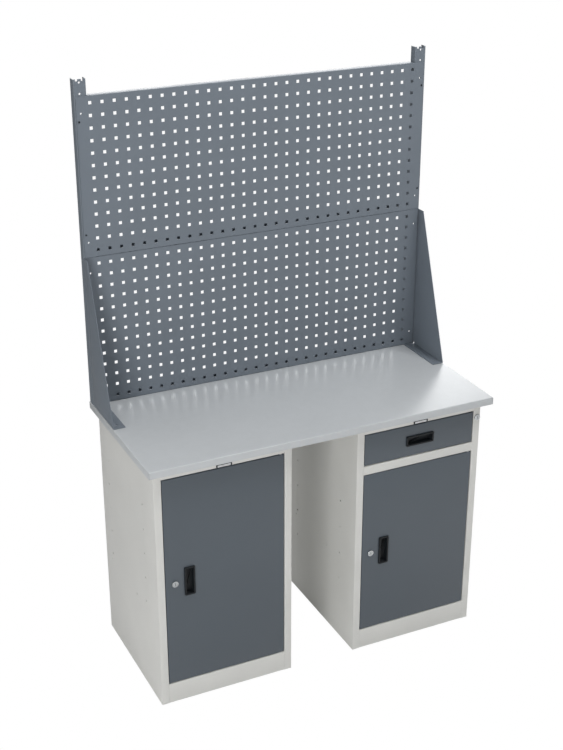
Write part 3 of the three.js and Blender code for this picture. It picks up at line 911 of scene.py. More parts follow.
@dataclass
class CamLock:
    """A cam lock along Y: collar and body, nut behind the sheet, plug with key slot and cam."""

    collar: float = 0.0105  # radius
    proud: float = 0.0045
    body: float = 0.009  # radius
    body_length: float = 0.016
    plug: float = 0.006  # radius
    nut_flats: float = 0.0215
    nut_thickness: float = 0.005
    nut_edge: float = 0.0005
    nut_angle: float = 40.0  # edges over this angle in degrees are rounded
    slot_width: float = 0.0016
    slot_length: float = 0.008
    slot_depth: float = 0.003
    cam_width: float = 0.014
    cam_corner: float = 0.0042
    cam_thickness: float = 0.002
    cam_start: float = 0.0235  # from the sheet's face
    cam_tail: float = 0.008  # under the axis
    collar_edge: float = 0.0004
    bore_edge: float = 0.0002
    plug_edge: float = 0.0005

    def tool(self, centre: Point) -> Workpiece:
        """Make the tool that opens a sheet for the lock's body."""
        return Workpiece.drill(Axis.Y, self.body + FIT, centre, REACH)

    def build(self, label: str, centre: Point, cam_reach: float, owner: str) -> None:
        """Model the lock and hang its plug on the lock's own body, which has the label as its name.

        Args:
            label: First words of the pieces' names.
            centre: Where the axis meets the sheet's face.
            cam_reach: How far the cam reaches up from the axis.
            owner: Body that carries the housing.
        """
        middle = Vector(centre)
        self._housing(f"{label}_collar", middle).fit(owner, CHROME, f"{label}_housing")
        self._nut(f"{label}_ring_nut", middle).fit(owner, ZINC_STEEL, f"{label}_nut")
        self._plug(f"{label}_barrel", middle, cam_reach).fit(label, CHROME, f"{label}_plug")

    def _housing(self, name: str, middle: Vector) -> Workpiece:
        """Turn the collar and the body, and bore them.

        Args:
            name: Name of the piece.
            middle: Where the axis meets the sheet's face.

        Returns:
            The housing.
        """
        front = middle - Vector((0, self.proud, 0))
        collar = Workpiece.bar(name, Axis.Y, self.collar, front, self.proud - FIT, sides=48)
        collar.pick_facing(Axis.Y, 1).inset(self.collar - self.body)
        collar.extrude((0, self.body_length + FIT, 0))
        collar.pick_level(Axis.Y, front.y).bevel(self.collar_edge)
        length = self.proud + self.body_length
        bore = Workpiece.drill(Axis.Y, self.plug + FIT, front, length, sides=48)
        return collar.cut(bore).soften(self.bore_edge)

    def _nut(self, name: str, middle: Vector) -> Workpiece:
        """Make the six-sided nut behind the sheet.

        Args:
            name: Name of the piece.
            middle: Where the axis meets the sheet's face.

        Returns:
            The nut.
        """
        radius = self.nut_flats / 2 / math.cos(math.pi / 6)
        start = middle + Vector((0, SHEET + FIT, 0))
        nut = Workpiece.bar(name, Axis.Y, radius, start, self.nut_thickness, sides=6)
        nut.turned(math.pi / 6, Axis.Y, start)
        bore = Workpiece.drill(Axis.Y, self.body + FIT, start, self.nut_thickness)
        return nut.soften(self.nut_edge, 2, self.nut_angle).cut(bore)

    def _plug(self, name: str, middle: Vector, cam_reach: float) -> Workpiece:
        """Turn the plug, weld its cam on and cut the key slot.

        Args:
            name: Name of the piece.
            middle: Where the axis meets the sheet's face.
            cam_reach: How far the cam reaches up from the axis.

        Returns:
            The plug.
        """
        x, y, z = middle
        face = y - self.proud + FIT
        cam_front = y + self.cam_start
        cam_back = cam_front + self.cam_thickness
        plug = Workpiece.bar(name, Axis.Y, self.plug, (x, face, z), cam_back - face, sides=40)
        plug.pick_level(Axis.Y, face).bevel(self.plug_edge, segments=2)
        height = (z - self.cam_tail, z + cam_reach)
        cam = Workpiece.block("cam", about(x, self.cam_width), (cam_front, cam_back), height)
        cam.pick_along(Axis.Y).bevel(self.cam_corner, segments=4)
        cam.activate()
        depth = (face - REACH, face + self.slot_depth)
        slot = Workpiece.block("key_slot", about(x, self.slot_width), depth, about(z, self.slot_length))
        return plug.weld(cam).cut(slot)


@dataclass
class HingePin:
    """A plain pin with a collar in the gap between a door and its frame."""

    inset: float = 0.01  # from the door's edge
    depth: float = 0.0055  # behind the door's face
    radius: float = 0.0025
    collar: float = 0.005  # radius
    length: float = 0.01  # on either side of the gap
    edge: float = 0.0004

    def _place(self, centre: float, level: float) -> Vector:
        """Give a point of the pin's axis, on the right of a cabinet's middle."""
        return Vector((centre + FRONT_HALF - self.inset, FRONT_Y + self.depth, level))

    def tool(self, centre: float, low: float, high: float) -> Workpiece:
        """Make the tool that opens a level sheet for the pin.

        Args:
            centre: Middle of the cabinet.
            low: The sheet's lower face, or a level under it.
            high: The sheet's upper face, or a level over it.

        Returns:
            The tool.
        """
        place = self._place(centre, low)
        return Workpiece.drill(Axis.Z, self.radius + FIT, place, high - low, sides=24)

    def build(self, name: str, centre: float, gap: Span) -> Workpiece:
        """Model a pin that stands in a gap.

        Args:
            name: Name of the piece.
            centre: Middle of the cabinet.
            gap: Heights of the gap's bottom and top.

        Returns:
            The pin.
        """
        low, high = gap
        start = self._place(centre, low - self.length)
        pin = Workpiece.bar(name, Axis.Z, self.radius, start, high - low + 2 * self.length, sides=24)
        pin.soften(self.edge, segments=2)
        collar_start = self._place(centre, low + FIT)
        collar = Workpiece.bar("collar", Axis.Z, self.collar, collar_start, high - low - 2 * FIT)
        return pin.weld(collar.soften(BURR))


@dataclass
class Front:
    """A door or a drawer front: a folded pan with a lip round its open back."""

    centre: float
    bottom: float
    top: float
    lip: float = 0.015
    bend: float = 0.002

    def pan(self, name: str) -> Workpiece:
        """Fold the pan.

        Args:
            name: Name of the piece.

        Returns:
            The pan.
        """
        width = (self.centre - FRONT_HALF, self.centre + FRONT_HALF)
        pan = Workpiece.block(name, width, (FRONT_Y, FRONT_Y + FRONT_DEPTH), (self.bottom, self.top))
        pan.pick_facing(Axis.Y, 1).inset(self.lip).delete_faces()
        pan.pick_edges_at(self._on_corner).bevel(self.bend)
        return pan.thicken(SHEET)

    def _on_corner(self, place: Vector) -> bool:
        """Tell whether a place is one of the pan's eight outer corners."""
        on_end = near(place.z, self.bottom) or near(place.z, self.top)
        return on_end and near(abs(place.x - self.centre), FRONT_HALF)


@dataclass
class NamePlate:
    """A small blank plate with rounded corners and a raised border."""

    width: float = 0.052
    height: float = 0.016
    thickness: float = 0.0025
    corner: float = 0.003
    border: float = 0.00425
    # The recess sits this far under the middle, so the dark border is widest along the top: partly the
    # plate's own frame, partly painted shade under the worktop's front edge.
    drop: float = 0.00325  # of the recess under the plate's middle
    sink: float = 0.0006  # of the recess
    inlay: float = 0.0002  # thickness
    inlay_corner: float = 0.001

    def build(self, name: str, centre: Point) -> Workpiece:
        """Model the plate with its back against a rail.

        Args:
            name: Name of the piece.
            centre: Middle of the plate on the rail's face.

        Returns:
            The plate.
        """
        x, y, z = centre
        depth = (y - FIT - self.thickness, y - FIT)
        plate = Workpiece.block(name, about(x, self.width), depth, about(z, self.height))
        plate.pick_along(Axis.Y).bevel(self.corner, segments=4)
        # Lowering the recess leaves a wide dark band of border along the top, which stands in partly for
        # painted shade under the worktop's edge.
        plate.pick_facing(Axis.Y, -1).inset(self.border).move((0, 0, -self.drop))
        plate.extrude((0, self.sink, 0))
        return plate.activate().soften(BURR, segments=2)

    def blank(self, name: str, centre: Point) -> Workpiece:
        """Model the blank metal inlay in the plate's recess.

        Args:
            name: Name of the piece.
            centre: Middle of the plate on the rail's face.

        Returns:
            The inlay.
        """
        x, y, z = centre
        back = y - FIT - self.thickness + self.sink
        margin = self.border + FIT
        width = about(x, self.width - 2 * margin)
        height = about(z - self.drop, self.height - 2 * margin)
        inlay = Workpiece.block(name, width, (back - self.inlay, back), height)
        inlay.pick_along(Axis.Y).bevel(self.inlay_corner)
        return inlay.activate()


@dataclass
class Cabinet:
    """A sheet-steel cabinet: sides with folded stiles, rails, floor, back and shelf."""

    hand: Side
    lowest_hole: float
    hole_step: float
    hole_count: int
    hinge_levels: Span
    mid_rail: Span | None = None
    stile_tool: Callable[[], Workpiece] | None = None
    back: float = 0.26
    top: float = WORKTOP[0] - FIT
    bend: float = 0.002
    crease: float = 0.0005  # bend radius of the stile's inner edge
    fold: float = 0.022  # depth of the stiles and rails
    rear_flange: float = 0.015
    foot_flange: float = 0.02
    floor_flange: float = 0.02
    back_corner: float = 0.003
    hole_radius: float = 0.003
    hole_rows: Span = (-0.131, 0.188)  # on Y
    support_level: float = 0.307
    support_rows: Span = (-0.04, 0.198)  # on Y
    shelf_ends: Span = (-0.196, 0.2553)
    shelf_top: float = 0.3235
    shelf_lip: float = 0.022
    shelf_gap: float = 0.001  # on either side
    support_ends: Span = (-0.176, 0.2353)
    support_leg: float = 0.03
    support_foot: float = 0.018
    plate_level: float = 0.823
    pin: HingePin = field(default_factory=HingePin)
    plate: NamePlate = field(default_factory=NamePlate)

    @property
    def label(self) -> str:
        """First words of the pieces' names."""
        return f"{self.hand.word}_cabinet"

    @property
    def centre(self) -> float:
        """Middle of the cabinet."""
        return self.hand.value * CABINET_X

    @property
    def rear(self) -> float:
        """Where the floor and the flanges end, in front of the back sheet."""
        return self.back - 2 * SHEET - 2 * FIT

    def build(self) -> None:
        """Model and dress every sheet of the cabinet."""
        for side in Side:
            self._side(side)
            self._shelf_support(side)
        self._rail("top_rail", OPENING_TOP, self.top)
        self._rail("plinth", 0.0, PLINTH_TOP)
        self._floor()
        self._back()
        self._shelf()
        self._name_plate()
        if self.mid_rail is not None:
            self._rail("mid_rail", *self.mid_rail)

    def _fit(self, sheet: Workpiece, word: str) -> None:
        """Paint a sheet of the cabinet and hang it on the bench in place of its solid."""
        sheet.fit("bench", LIGHT_PAINT, f"{self.label}_{word}")

    def _reach(self, half: float) -> Span:
        """Give the two ends of a length about the cabinet's middle, from half of it."""
        return self.centre - half, self.centre + half

    def _side(self, side: Side) -> None:
        """Fold one side with its stile, flanges and holes.

        Args:
            side: Side of the cabinet.
        """
        stile = FRONT_Y + self.fold
        profile = [
            (OPENING_HALF, stile), (OPENING_HALF, FRONT_Y), (CABINET_HALF, FRONT_Y),
            (CABINET_HALF, self.back), (CABINET_HALF - self.rear_flange, self.back),
        ]
        bends = [self.crease, self.bend, self.bend]
        if side is Side.LEFT:
            bends.reverse()
        word = f"{side.word}_side"
        outline = placed(profile, side, self.centre)
        wall = Workpiece.folded(f"{self.label}_{word}_sheet", Axis.Z, (0.0, self.top), outline, *bends)
        wall.thicken(SHEET).weld(self._flange(side, 0.0), self._flange(side, self.top - SHEET))
        wall.cut(self._side_holes(side))
        if side is Side.RIGHT and self.stile_tool is not None:
            wall.cut(self.stile_tool())
        self._fit(wall, word)

    def _flange(self, side: Side, low: float) -> Workpiece:
        """Make the flange turned in at the foot or the head of a side.

        Args:
            side: Side of the cabinet.
            low: The flange's lower face.

        Returns:
            The flange.
        """
        edges = (CABINET_HALF - self.foot_flange, CABINET_HALF - SHEET / 2)
        inner, outer = (self.centre + side.value * edge for edge in edges)
        depth = (FRONT_Y + SHEET / 2, self.rear)
        flange = Workpiece.block("flange", (inner, outer), depth, (low, low + SHEET))
        flange.pick_along(Axis.Z).bevel(self.bend, segments=2)
        return flange.activate()

    def _side_holes(self, side: Side) -> Workpiece:
        """Make the tools for a side's shelf and support holes.

        Args:
            side: Side of the cabinet.

        Returns:
            The tools in one mesh.
        """
        levels = [self.lowest_hole + self.hole_step * i for i in range(self.hole_count)]
        places = [(y, z) for y in self.hole_rows for z in levels]
        places += [(y, self.support_level) for y in self.support_rows]
        start = self.centre + min(side.value * CABINET_HALF, side.value * INSIDE_HALF)
        return Workpiece.bundle([
            Workpiece.drill(Axis.X, self.hole_radius, (start, y, z), SHEET, sides=16) for y, z in places
        ])

    def _rail(self, word: str, low: float, high: float) -> None:
        """Fold a channel across the front between two levels, and open it where a hinge pin stands.

        Args:
            word: Last words of the rail's name.
            low: Its lower face.
            high: Its upper face.
        """
        fold = FRONT_Y + self.fold
        profile = [(fold, high), (FRONT_Y, high), (FRONT_Y, low), (fold, low)]
        ends = self._reach(OPENING_HALF - FIT)
        rail = Workpiece.folded(f"{self.label}_{word}_sheet", Axis.X, ends, profile, self.bend)
        rail.thicken(SHEET)
        for level in self.hinge_levels:
            if low - NEAR < level < high + NEAR:
                rail.cut(self.pin.tool(self.centre, level - SHEET, level + SHEET))
        self._fit(rail, word)

    def _floor(self) -> None:
        """Fold the floor, its sides turned down."""
        half = INSIDE_HALF - FIT
        low = PLINTH_TOP - self.floor_flange
        profile = [(half, low), (half, PLINTH_TOP), (-half, PLINTH_TOP), (-half, low)]
        outline = placed(profile, Side.RIGHT, self.centre)
        ends = (FRONT_Y + self.fold + FIT, self.rear)
        floor = Workpiece.folded(f"{self.label}_floor_sheet", Axis.Y, ends, outline, self.bend)
        self._fit(floor.thicken(SHEET), "floor")

    def _back(self) -> None:
        """Cut the flat back sheet."""
        depth = (self.rear + FIT, self.rear + FIT + SHEET)
        width = self._reach(INSIDE_HALF - FIT)
        back = Workpiece.block(f"{self.label}_back_sheet", width, depth, (0.0, self.top))
        back.pick_along(Axis.Y).bevel(self.back_corner)
        self._fit(back.soften(BURR), "back")

    def _shelf(self) -> None:
        """Fold the shelf, its front and back lips turned down."""
        front, back = self.shelf_ends
        low = self.shelf_top - self.shelf_lip
        profile = [(back, low), (back, self.shelf_top), (front, self.shelf_top), (front, low)]
        ends = self._reach(INSIDE_HALF - self.shelf_gap)
        shelf = Workpiece.folded(f"{self.label}_shelf_sheet", Axis.X, ends, profile, self.bend)
        self._fit(shelf.thicken(SHEET), "shelf")

    def _shelf_support(self, side: Side) -> None:
        """Fold the angle that carries one side of the shelf.

        Args:
            side: Side of the cabinet.
        """
        outer = INSIDE_HALF - FIT
        top = self.shelf_top - SHEET - FIT
        profile = [(outer, top - self.support_leg), (outer, top), (outer - self.support_foot, top)]
        outline = placed(profile, side, self.centre)
        name = f"{self.label}_shelf_support_{side.word}"
        angle = Workpiece.folded(f"{name}_angle", Axis.Y, self.support_ends, outline, self.bend)
        angle.thicken(SHEET).fit("bench", ZINC_STEEL, name)

    def _name_plate(self) -> None:
        """Set the blank plate and its inlay on the top rail."""
        place = (self.centre, FRONT_Y, self.plate_level)
        name = f"{self.hand.word}_rail_plate"
        self.plate.build(name, place).fit("bench", BLACK_PLASTIC, f"{self.hand.word}_name_plate")
        self.plate.blank(f"{name}_inlay", place).fit("bench", ZINC_STEEL)


@dataclass
class Door:
    """A hinged door with its pull, cam lock and pins."""

    hand: Side
    opening: Span
    pull_inset: float = 0.0795
    lock_inset: float = 0.0305
    cam_hold: float = 0.012  # of the cam behind the frame
    pull: Pull = field(default_factory=Pull)
    lock: CamLock = field(default_factory=CamLock)
    pin: HingePin = field(default_factory=HingePin)

    def build(self) -> None:
        """Model the door and hang it on its hinge."""
        low, high = self.opening
        bottom, top = low + GAP, high - GAP
        body = f"{self.hand.word}_door"
        front = Front(self.hand.value * CABINET_X, bottom, top)
        left_edge = front.centre - FRONT_HALF
        level = (low + high) / 2
        pull_place = (left_edge + self.pull_inset, FRONT_Y, level)
        lock_place = (left_edge + self.lock_inset, FRONT_Y, level)
        panel = front.pan(f"{body}_sheet")
        panel.cut(
            self.pull.tool(pull_place, lying=False), self.lock.tool(lock_place),
            self.pin.tool(front.centre, bottom, bottom + SHEET),
            self.pin.tool(front.centre, top - SHEET, top),
        )
        panel.fit(body, SLATE_PAINT, f"{body}_panel")
        pull = self.pull.build(f"{body}_grip", pull_place, lying=False)
        pull.fit(body, BLACK_PLASTIC, f"{body}_pull")
        cam_reach = self.lock_inset + GAP + self.cam_hold
        self.lock.build(f"{body}_lock", lock_place, cam_reach, body)
        for word, gap in (("lower", (low, bottom)), ("upper", (top, high))):
            pin = self.pin.build(f"{body}_{word}_hinge_pin", front.centre, gap)
            pin.fit(body, ZINC_STEEL, f"{body}_{word}_pin")


@dataclass
class Drawer:
    """The drawer: front, pull, box, telescopic runners and the lock in the stile beside it."""

    bottom: float = MID_RAIL[1] + GAP
    top: float = OPENING_TOP - GAP
    box_half: float = 0.1915
    box_front: float = FRONT_Y + FRONT_DEPTH + FIT
    box_length: float = 0.44
    box_bottom: float = 0.708
    box_height: float = 0.085
    bend: float = 0.0015
    runner_start: float = -0.212
    runner_length: float = 0.44
    runner_level: float = 0.745
    runner_height: float = 0.045
    runner_play: float = 0.0006  # between nested members
    bracket_length: float = 0.45
    bracket_height: float = 0.06
    bracket_sheet: float = 0.0015
    lock_place: Triple = (CABINET_X + CABINET_HALF - STILE / 2, FRONT_Y, 0.79)
    cam_reach: float = 0.024
    pull: Pull = field(default_factory=Pull)
    lock: CamLock = field(default_factory=CamLock)

    def lock_tool(self) -> Workpiece:
        """Make the tool that opens the cabinet's stile for the lock."""
        return self.lock.tool(self.lock_place)

    def build(self) -> None:
        """Model the drawer, its runners and its lock."""
        place = (CABINET_X, FRONT_Y, (self.bottom + self.top) / 2)
        panel = Front(CABINET_X, self.bottom, self.top).pan("drawer_front_sheet")
        panel.cut(self.pull.tool(place, lying=True)).fit("drawer", SLATE_PAINT, "drawer_front")
        pull = self.pull.build("drawer_grip", place, lying=True)
        pull.fit("drawer", BLACK_PLASTIC, "drawer_pull")
        self._box()
        for side in Side:
            self._runner(side)
        self.lock.build("drawer_lock", self.lock_place, self.cam_reach, "bench")

    def _box(self) -> None:
        """Fold the open box behind the front."""
        top = self.box_bottom + self.box_height
        depth = (self.box_front, self.box_front + self.box_length)
        width = (CABINET_X - self.box_half, CABINET_X + self.box_half)
        box = Workpiece.block("drawer_box_sheet", width, depth, (self.box_bottom, top))
        box.pick_facing(Axis.Z, 1).delete_faces()
        box.pick_edges(lambda a, b: not (near(a.z, top) and near(b.z, top))).bevel(self.bend)
        box.thicken(SHEET).fit("drawer", LIGHT_PAINT, "drawer_box")

    def _channel(
        self, name: str, side: Side, legs: Span, height: float, sheet: float, length: float
    ) -> Workpiece:
        """Fold one channel of a runner.

        Args:
            name: Name of the piece.
            side: Side of the drawer.
            legs: Where its legs start, at the channel's back, and end, from the drawer's middle.
            height: Its height.
            sheet: Its sheet.
            length: Its length.

        Returns:
            The channel.
        """
        web, tip = legs
        low, high = about(self.runner_level, height)
        profile = [(tip, low), (web, low), (web, high), (tip, high)]
        if tip > web:
            profile.reverse()
        ends = (self.runner_start, self.runner_start + length)
        channel = Workpiece.folded(name, Axis.Y, ends, placed(profile, side, CABINET_X), self.bend)
        return channel.thicken(sheet)

    def _runner(self, side: Side) -> None:
        """Model one side's bracket and its three nested runner members.

        Args:
            side: Side of the drawer.
        """
        step = SHEET + self.runner_play
        outer = OPENING_HALF - FIT
        inner = self.box_half + FIT
        bracket = self._channel(
            f"runner_bracket_{side.word}", side, (OPENING_HALF, INSIDE_HALF - FIT),
            self.bracket_height, self.bracket_sheet, self.bracket_length,
        )
        bracket.fit("bench", LIGHT_PAINT, f"drawer_runner_bracket_{side.word}")
        members = (
            ("fixed", "bench", (outer, inner + step)),
            ("middle", "drawer_runner_middles", (outer - step, inner + step)),
            ("inner", "drawer", (inner, outer - 2 * step)),
        )
        for number, (word, body, legs) in enumerate(members):
            name = f"runner_{word}_{side.word}"
            height = self.runner_height - 2 * number * step
            member = self._channel(name, side, legs, height, SHEET, self.runner_length)
            member.fit(body, ZINC_STEEL, f"drawer_{name}")


@dataclass
class ToolScreen:
    """Two uprights, two perforated panels, two side brackets and their fasteners."""

    base: float = WORKTOP[1]
    face: float = 0.238
    panel_half: float = 0.594
    panel_sheet: float = 0.0015
    module: float = 0.5  # height of a panel with its share of the seams
    seam: float = 0.001
    flange_half: float = 0.557  # of the folds' length, which clear the uprights
    flange: float = 0.0265
    lip: float = 0.02
    hole: float = 0.01
    pitch: float = 0.038
    columns: int = 30
    rows: int = 13
    crease: float = 0.001
    bend: float = 0.003
    bolt_x: float = 0.58
    bolt_radius: float = 0.003
    bolt_lowest: float = 0.048
    bolt_spacing: float = 0.4
    screw_x: float = 0.587
    screw_lowest: float = 0.0735
    screw_spacing: float = 0.35
    screw_radius: float = 0.003
    screw_height: float = 0.0012
    screw_rim: float = 0.00165
    screw_sink: float = 0.00072
    upright_outside: float = 0.599
    upright_width: float = 0.04
    upright_depth: float = 0.026
    upright_sheet: float = 0.002
    upright_top: float = 1.918
    notch_width: float = 0.007
    notch_depth: float = 0.006
    notch_spacing: float = 0.018
    hang_drop: float = 0.01  # of the upper hanging hole under the top
    hang_spacing: float = 0.0336
    bracket_sheet: float = 0.002
    bracket_top: float = 1.3665
    bracket_toe: float = 0.038
    bracket_head: float = 0.208  # front of the bracket at its top
    bracket_hole: float = 0.065
    bracket_edge: float = 0.0004
    relief: float = 0.006  # notch at the heel of the bend
    relief_inset: float = 0.004

    @property
    def upright_front(self) -> float:
        """Face of the uprights, behind the panels."""
        return self.face + self.panel_sheet + FIT

    @property
    def upright_inside(self) -> float:
        """Where the uprights and the brackets' feet end towards the middle."""
        return self.upright_outside - self.upright_width

    def build(self) -> None:
        """Model and dress the whole screen."""
        lower = self._panel("lower_panel_sheet")
        upper = lower.copy("upper_panel_sheet", (0, 0, self.module))
        lower.fit("bench", SCREEN_PAINT, "lower_panel")
        upper.fit("bench", SCREEN_PAINT, "upper_panel")
        for side in Side:
            self._upright(side)
            self._bracket(side)
        self._screws()

    def _bolt_levels(self, panel: int) -> list[float]:
        """Give the heights of a panel's bolt holes, the lower panel being number 0."""
        lowest = self.base + panel * self.module + self.bolt_lowest
        return [lowest, lowest + self.bolt_spacing]

    def _bolt_tools(
        self, sides: Iterable[Side], levels: Iterable[float], front: float, sheet: float
    ) -> Workpiece:
        """Make the tools for round holes through an upright sheet.

        Args:
            sides: Sides that get the holes.
            levels: Heights of the holes.
            front: The sheet's face.
            sheet: Its thickness.

        Returns:
            The tools in one mesh.
        """
        places = [(side.value * self.bolt_x, front, z) for side in sides for z in levels]
        return Workpiece.bundle([
            Workpiece.drill(Axis.Y, self.bolt_radius, place, sheet, sides=20) for place in places
        ])

    def _on_fold(self, depth: float, *levels: float) -> PlaceTest:
        """Make the test for places on the folds between the panel's notched ends.

        Args:
            depth: The folds' place on Y.
            levels: Their heights.

        Returns:
            The test.
        """
        return lambda place: (
            abs(place.x) < self.flange_half + NEAR
            and near(place.y, depth)
            and any(near(place.z, level) for level in levels)
        )

    def _panel(self, name: str) -> Workpiece:
        """Punch one cell, repeat it, and fold the sheet's edges.

        Args:
            name: Name of the piece.

        Returns:
            The lower panel.
        """
        low = self.base + self.seam / 2
        high = self.base + self.module - self.seam / 2
        middle = (low + high) / 2
        field_x = self.columns * self.pitch / 2
        field_z = self.rows * self.pitch / 2
        first_cell = (self.pitch / 2 - field_x, self.face, middle + self.pitch / 2 - field_z)
        start_afresh()
        bpy.ops.mesh.primitive_plane_add(size=self.pitch, location=first_cell, rotation=Axis.Y.tilt)
        panel = Workpiece(name)
        panel.pick_all().inset((self.pitch - self.hole) / 2).delete_faces()
        panel.repeat(self.columns, (self.pitch, 0, 0)).repeat(self.rows, (0, 0, self.pitch))
        for way in (-1, 1):
            panel.pick_level(Axis.X, way * field_x)
            panel.extrude((way * (self.panel_half - field_x), 0, 0))
        for level, end in ((middle - field_z, low), (middle + field_z, high)):
            panel.pick_level(Axis.Z, level).extrude((0, 0, end - level))
        for way in (-1, 1):
            panel.pick_all().bisect((way * self.flange_half, 0, 0), (1, 0, 0))
        back = self.face + self.flange
        panel.pick_edges_at(self._on_fold(self.face, low, high)).extrude((0, self.flange, 0))
        panel.pick_edges_at(self._on_fold(back, low)).extrude((0, 0, self.lip))
        panel.pick_edges_at(self._on_fold(back, high)).extrude((0, 0, -self.lip))
        for depth in (self.face, back):
            panel.pick_edges_at(self._on_fold(depth, low, high)).bevel(self.crease, segments=2)
        tools = self._bolt_tools(Side, self._bolt_levels(0), self.face, self.panel_sheet)
        return panel.thicken(self.panel_sheet).cut(tools)

    def _upright(self, side: Side) -> None:
        """Fold one upright, notch its top and drill its holes.

        Args:
            side: Side of the screen.
        """
        outside, inside, front = self.upright_outside, self.upright_inside, self.upright_front
        back = front + self.upright_depth
        outline = placed([(inside, back), (inside, front), (outside, front), (outside, back)], side)
        name = f"{side.word}_upright"
        ends = (self.base + FIT, self.upright_top)
        upright = Workpiece.folded(f"{name}_channel", Axis.Z, ends, outline, self.bend)
        upright.thicken(self.upright_sheet)
        hang = self.upright_top - self.hang_drop
        levels = [*self._bolt_levels(0), *self._bolt_levels(1), hang, hang - self.hang_spacing]
        upright.cut(self._bolt_tools([side], levels, front, self.upright_sheet))
        depth = (front - REACH, front + self.upright_sheet + REACH)
        height = (self.upright_top - self.notch_depth, self.upright_top + REACH)
        for middle in about(side.value * (inside + outside) / 2, self.notch_spacing):
            upright.cut(Workpiece.block("notch_tool", about(middle, self.notch_width), depth, height))
        upright.soften(BURR).fit("bench", SCREEN_PAINT, name)

    def _bracket(self, side: Side) -> None:
        """Fold one side bracket, slope its front edge and drill its foot.

        Args:
            side: Side of the screen.
        """
        low = self.base + FIT
        outside, inside = self.upright_outside, self.upright_inside
        toe, heel, top = self.bracket_toe, self.upright_front - FIT, self.bracket_top
        outline = placed([(inside, low), (outside, low), (outside, top)], side)
        name = f"{side.word}_bracket"
        bracket = Workpiece.folded(f"{name}_sheet", Axis.Y, (toe, heel), outline, self.bend)
        bracket.pick_points(lambda place: near(place.z, top) and near(place.y, toe))
        bracket.move((0, self.bracket_head - toe, 0))
        bracket.pick_points(lambda place: near(abs(place.x), inside) and near(place.y, heel))
        bracket.move((0, self.face - FIT - heel, 0))
        bracket.thicken(self.bracket_sheet)
        foot = (side.value * self.bolt_x, self.bracket_hole, low)
        hole = Workpiece.drill(Axis.Z, self.bolt_radius, foot, self.bracket_sheet, sides=20)
        width = (side.value * (outside - self.relief), side.value * (outside + REACH))
        back = heel - self.relief_inset
        height = (low - REACH, low + self.relief)
        notch = Workpiece.block("relief_tool", width, (back - self.relief, back), height)
        bracket.cut(hole, notch).soften(self.bracket_edge, segments=2)
        bracket.fit("bench", SCREEN_PAINT, name)

    def _screws(self) -> None:
        """Model one screw head and set copies of it along the upper panel's edges."""
        lowest = self.base + self.module + self.screw_lowest
        front = self.face - self.screw_height - FIT
        places = [
            Vector((side.value * self.screw_x, front, lowest + i * self.screw_spacing))
            for side in Side for i in range(2)
        ]
        head = Workpiece.bar(
            "panel_screw_1", Axis.Y, self.screw_radius, places[0], self.screw_height, sides=24
        )
        head.pick_facing(Axis.Y, -1).inset(self.screw_rim).extrude((0, self.screw_sink, 0))
        head.activate().soften(BURR, segments=2)
        heads = [head]
        for number, place in enumerate(places[1:], 2):
            heads.append(head.copy(f"panel_screw_{number}", place - places[0]))
        for item in heads:
            item.fit("bench", BLACK_PLASTIC)


@dataclass(frozen=True)
class Lamp:
    """A soft square lamp."""

    name: str
    place: Triple
    aim: Triple
    size: float
    power: float
    lights_matt: bool = True  # if not, it shows in reflections only

    def hang(self) -> None:
        """Hang the lamp and point it at its aim."""
        data = bpy.data.lights.new(self.name, "AREA")
        data.size = self.size
        data.energy = self.power
        lamp = bpy.data.objects.new(self.name, data)
        lamp.location = self.place
        way = Vector(self.aim) - Vector(self.place)
        lamp.rotation_euler = way.to_track_quat("-Z", "Y").to_euler()
        lamp.visible_diffuse = self.lights_matt
        bpy.context.scene.collection.objects.link(lamp)


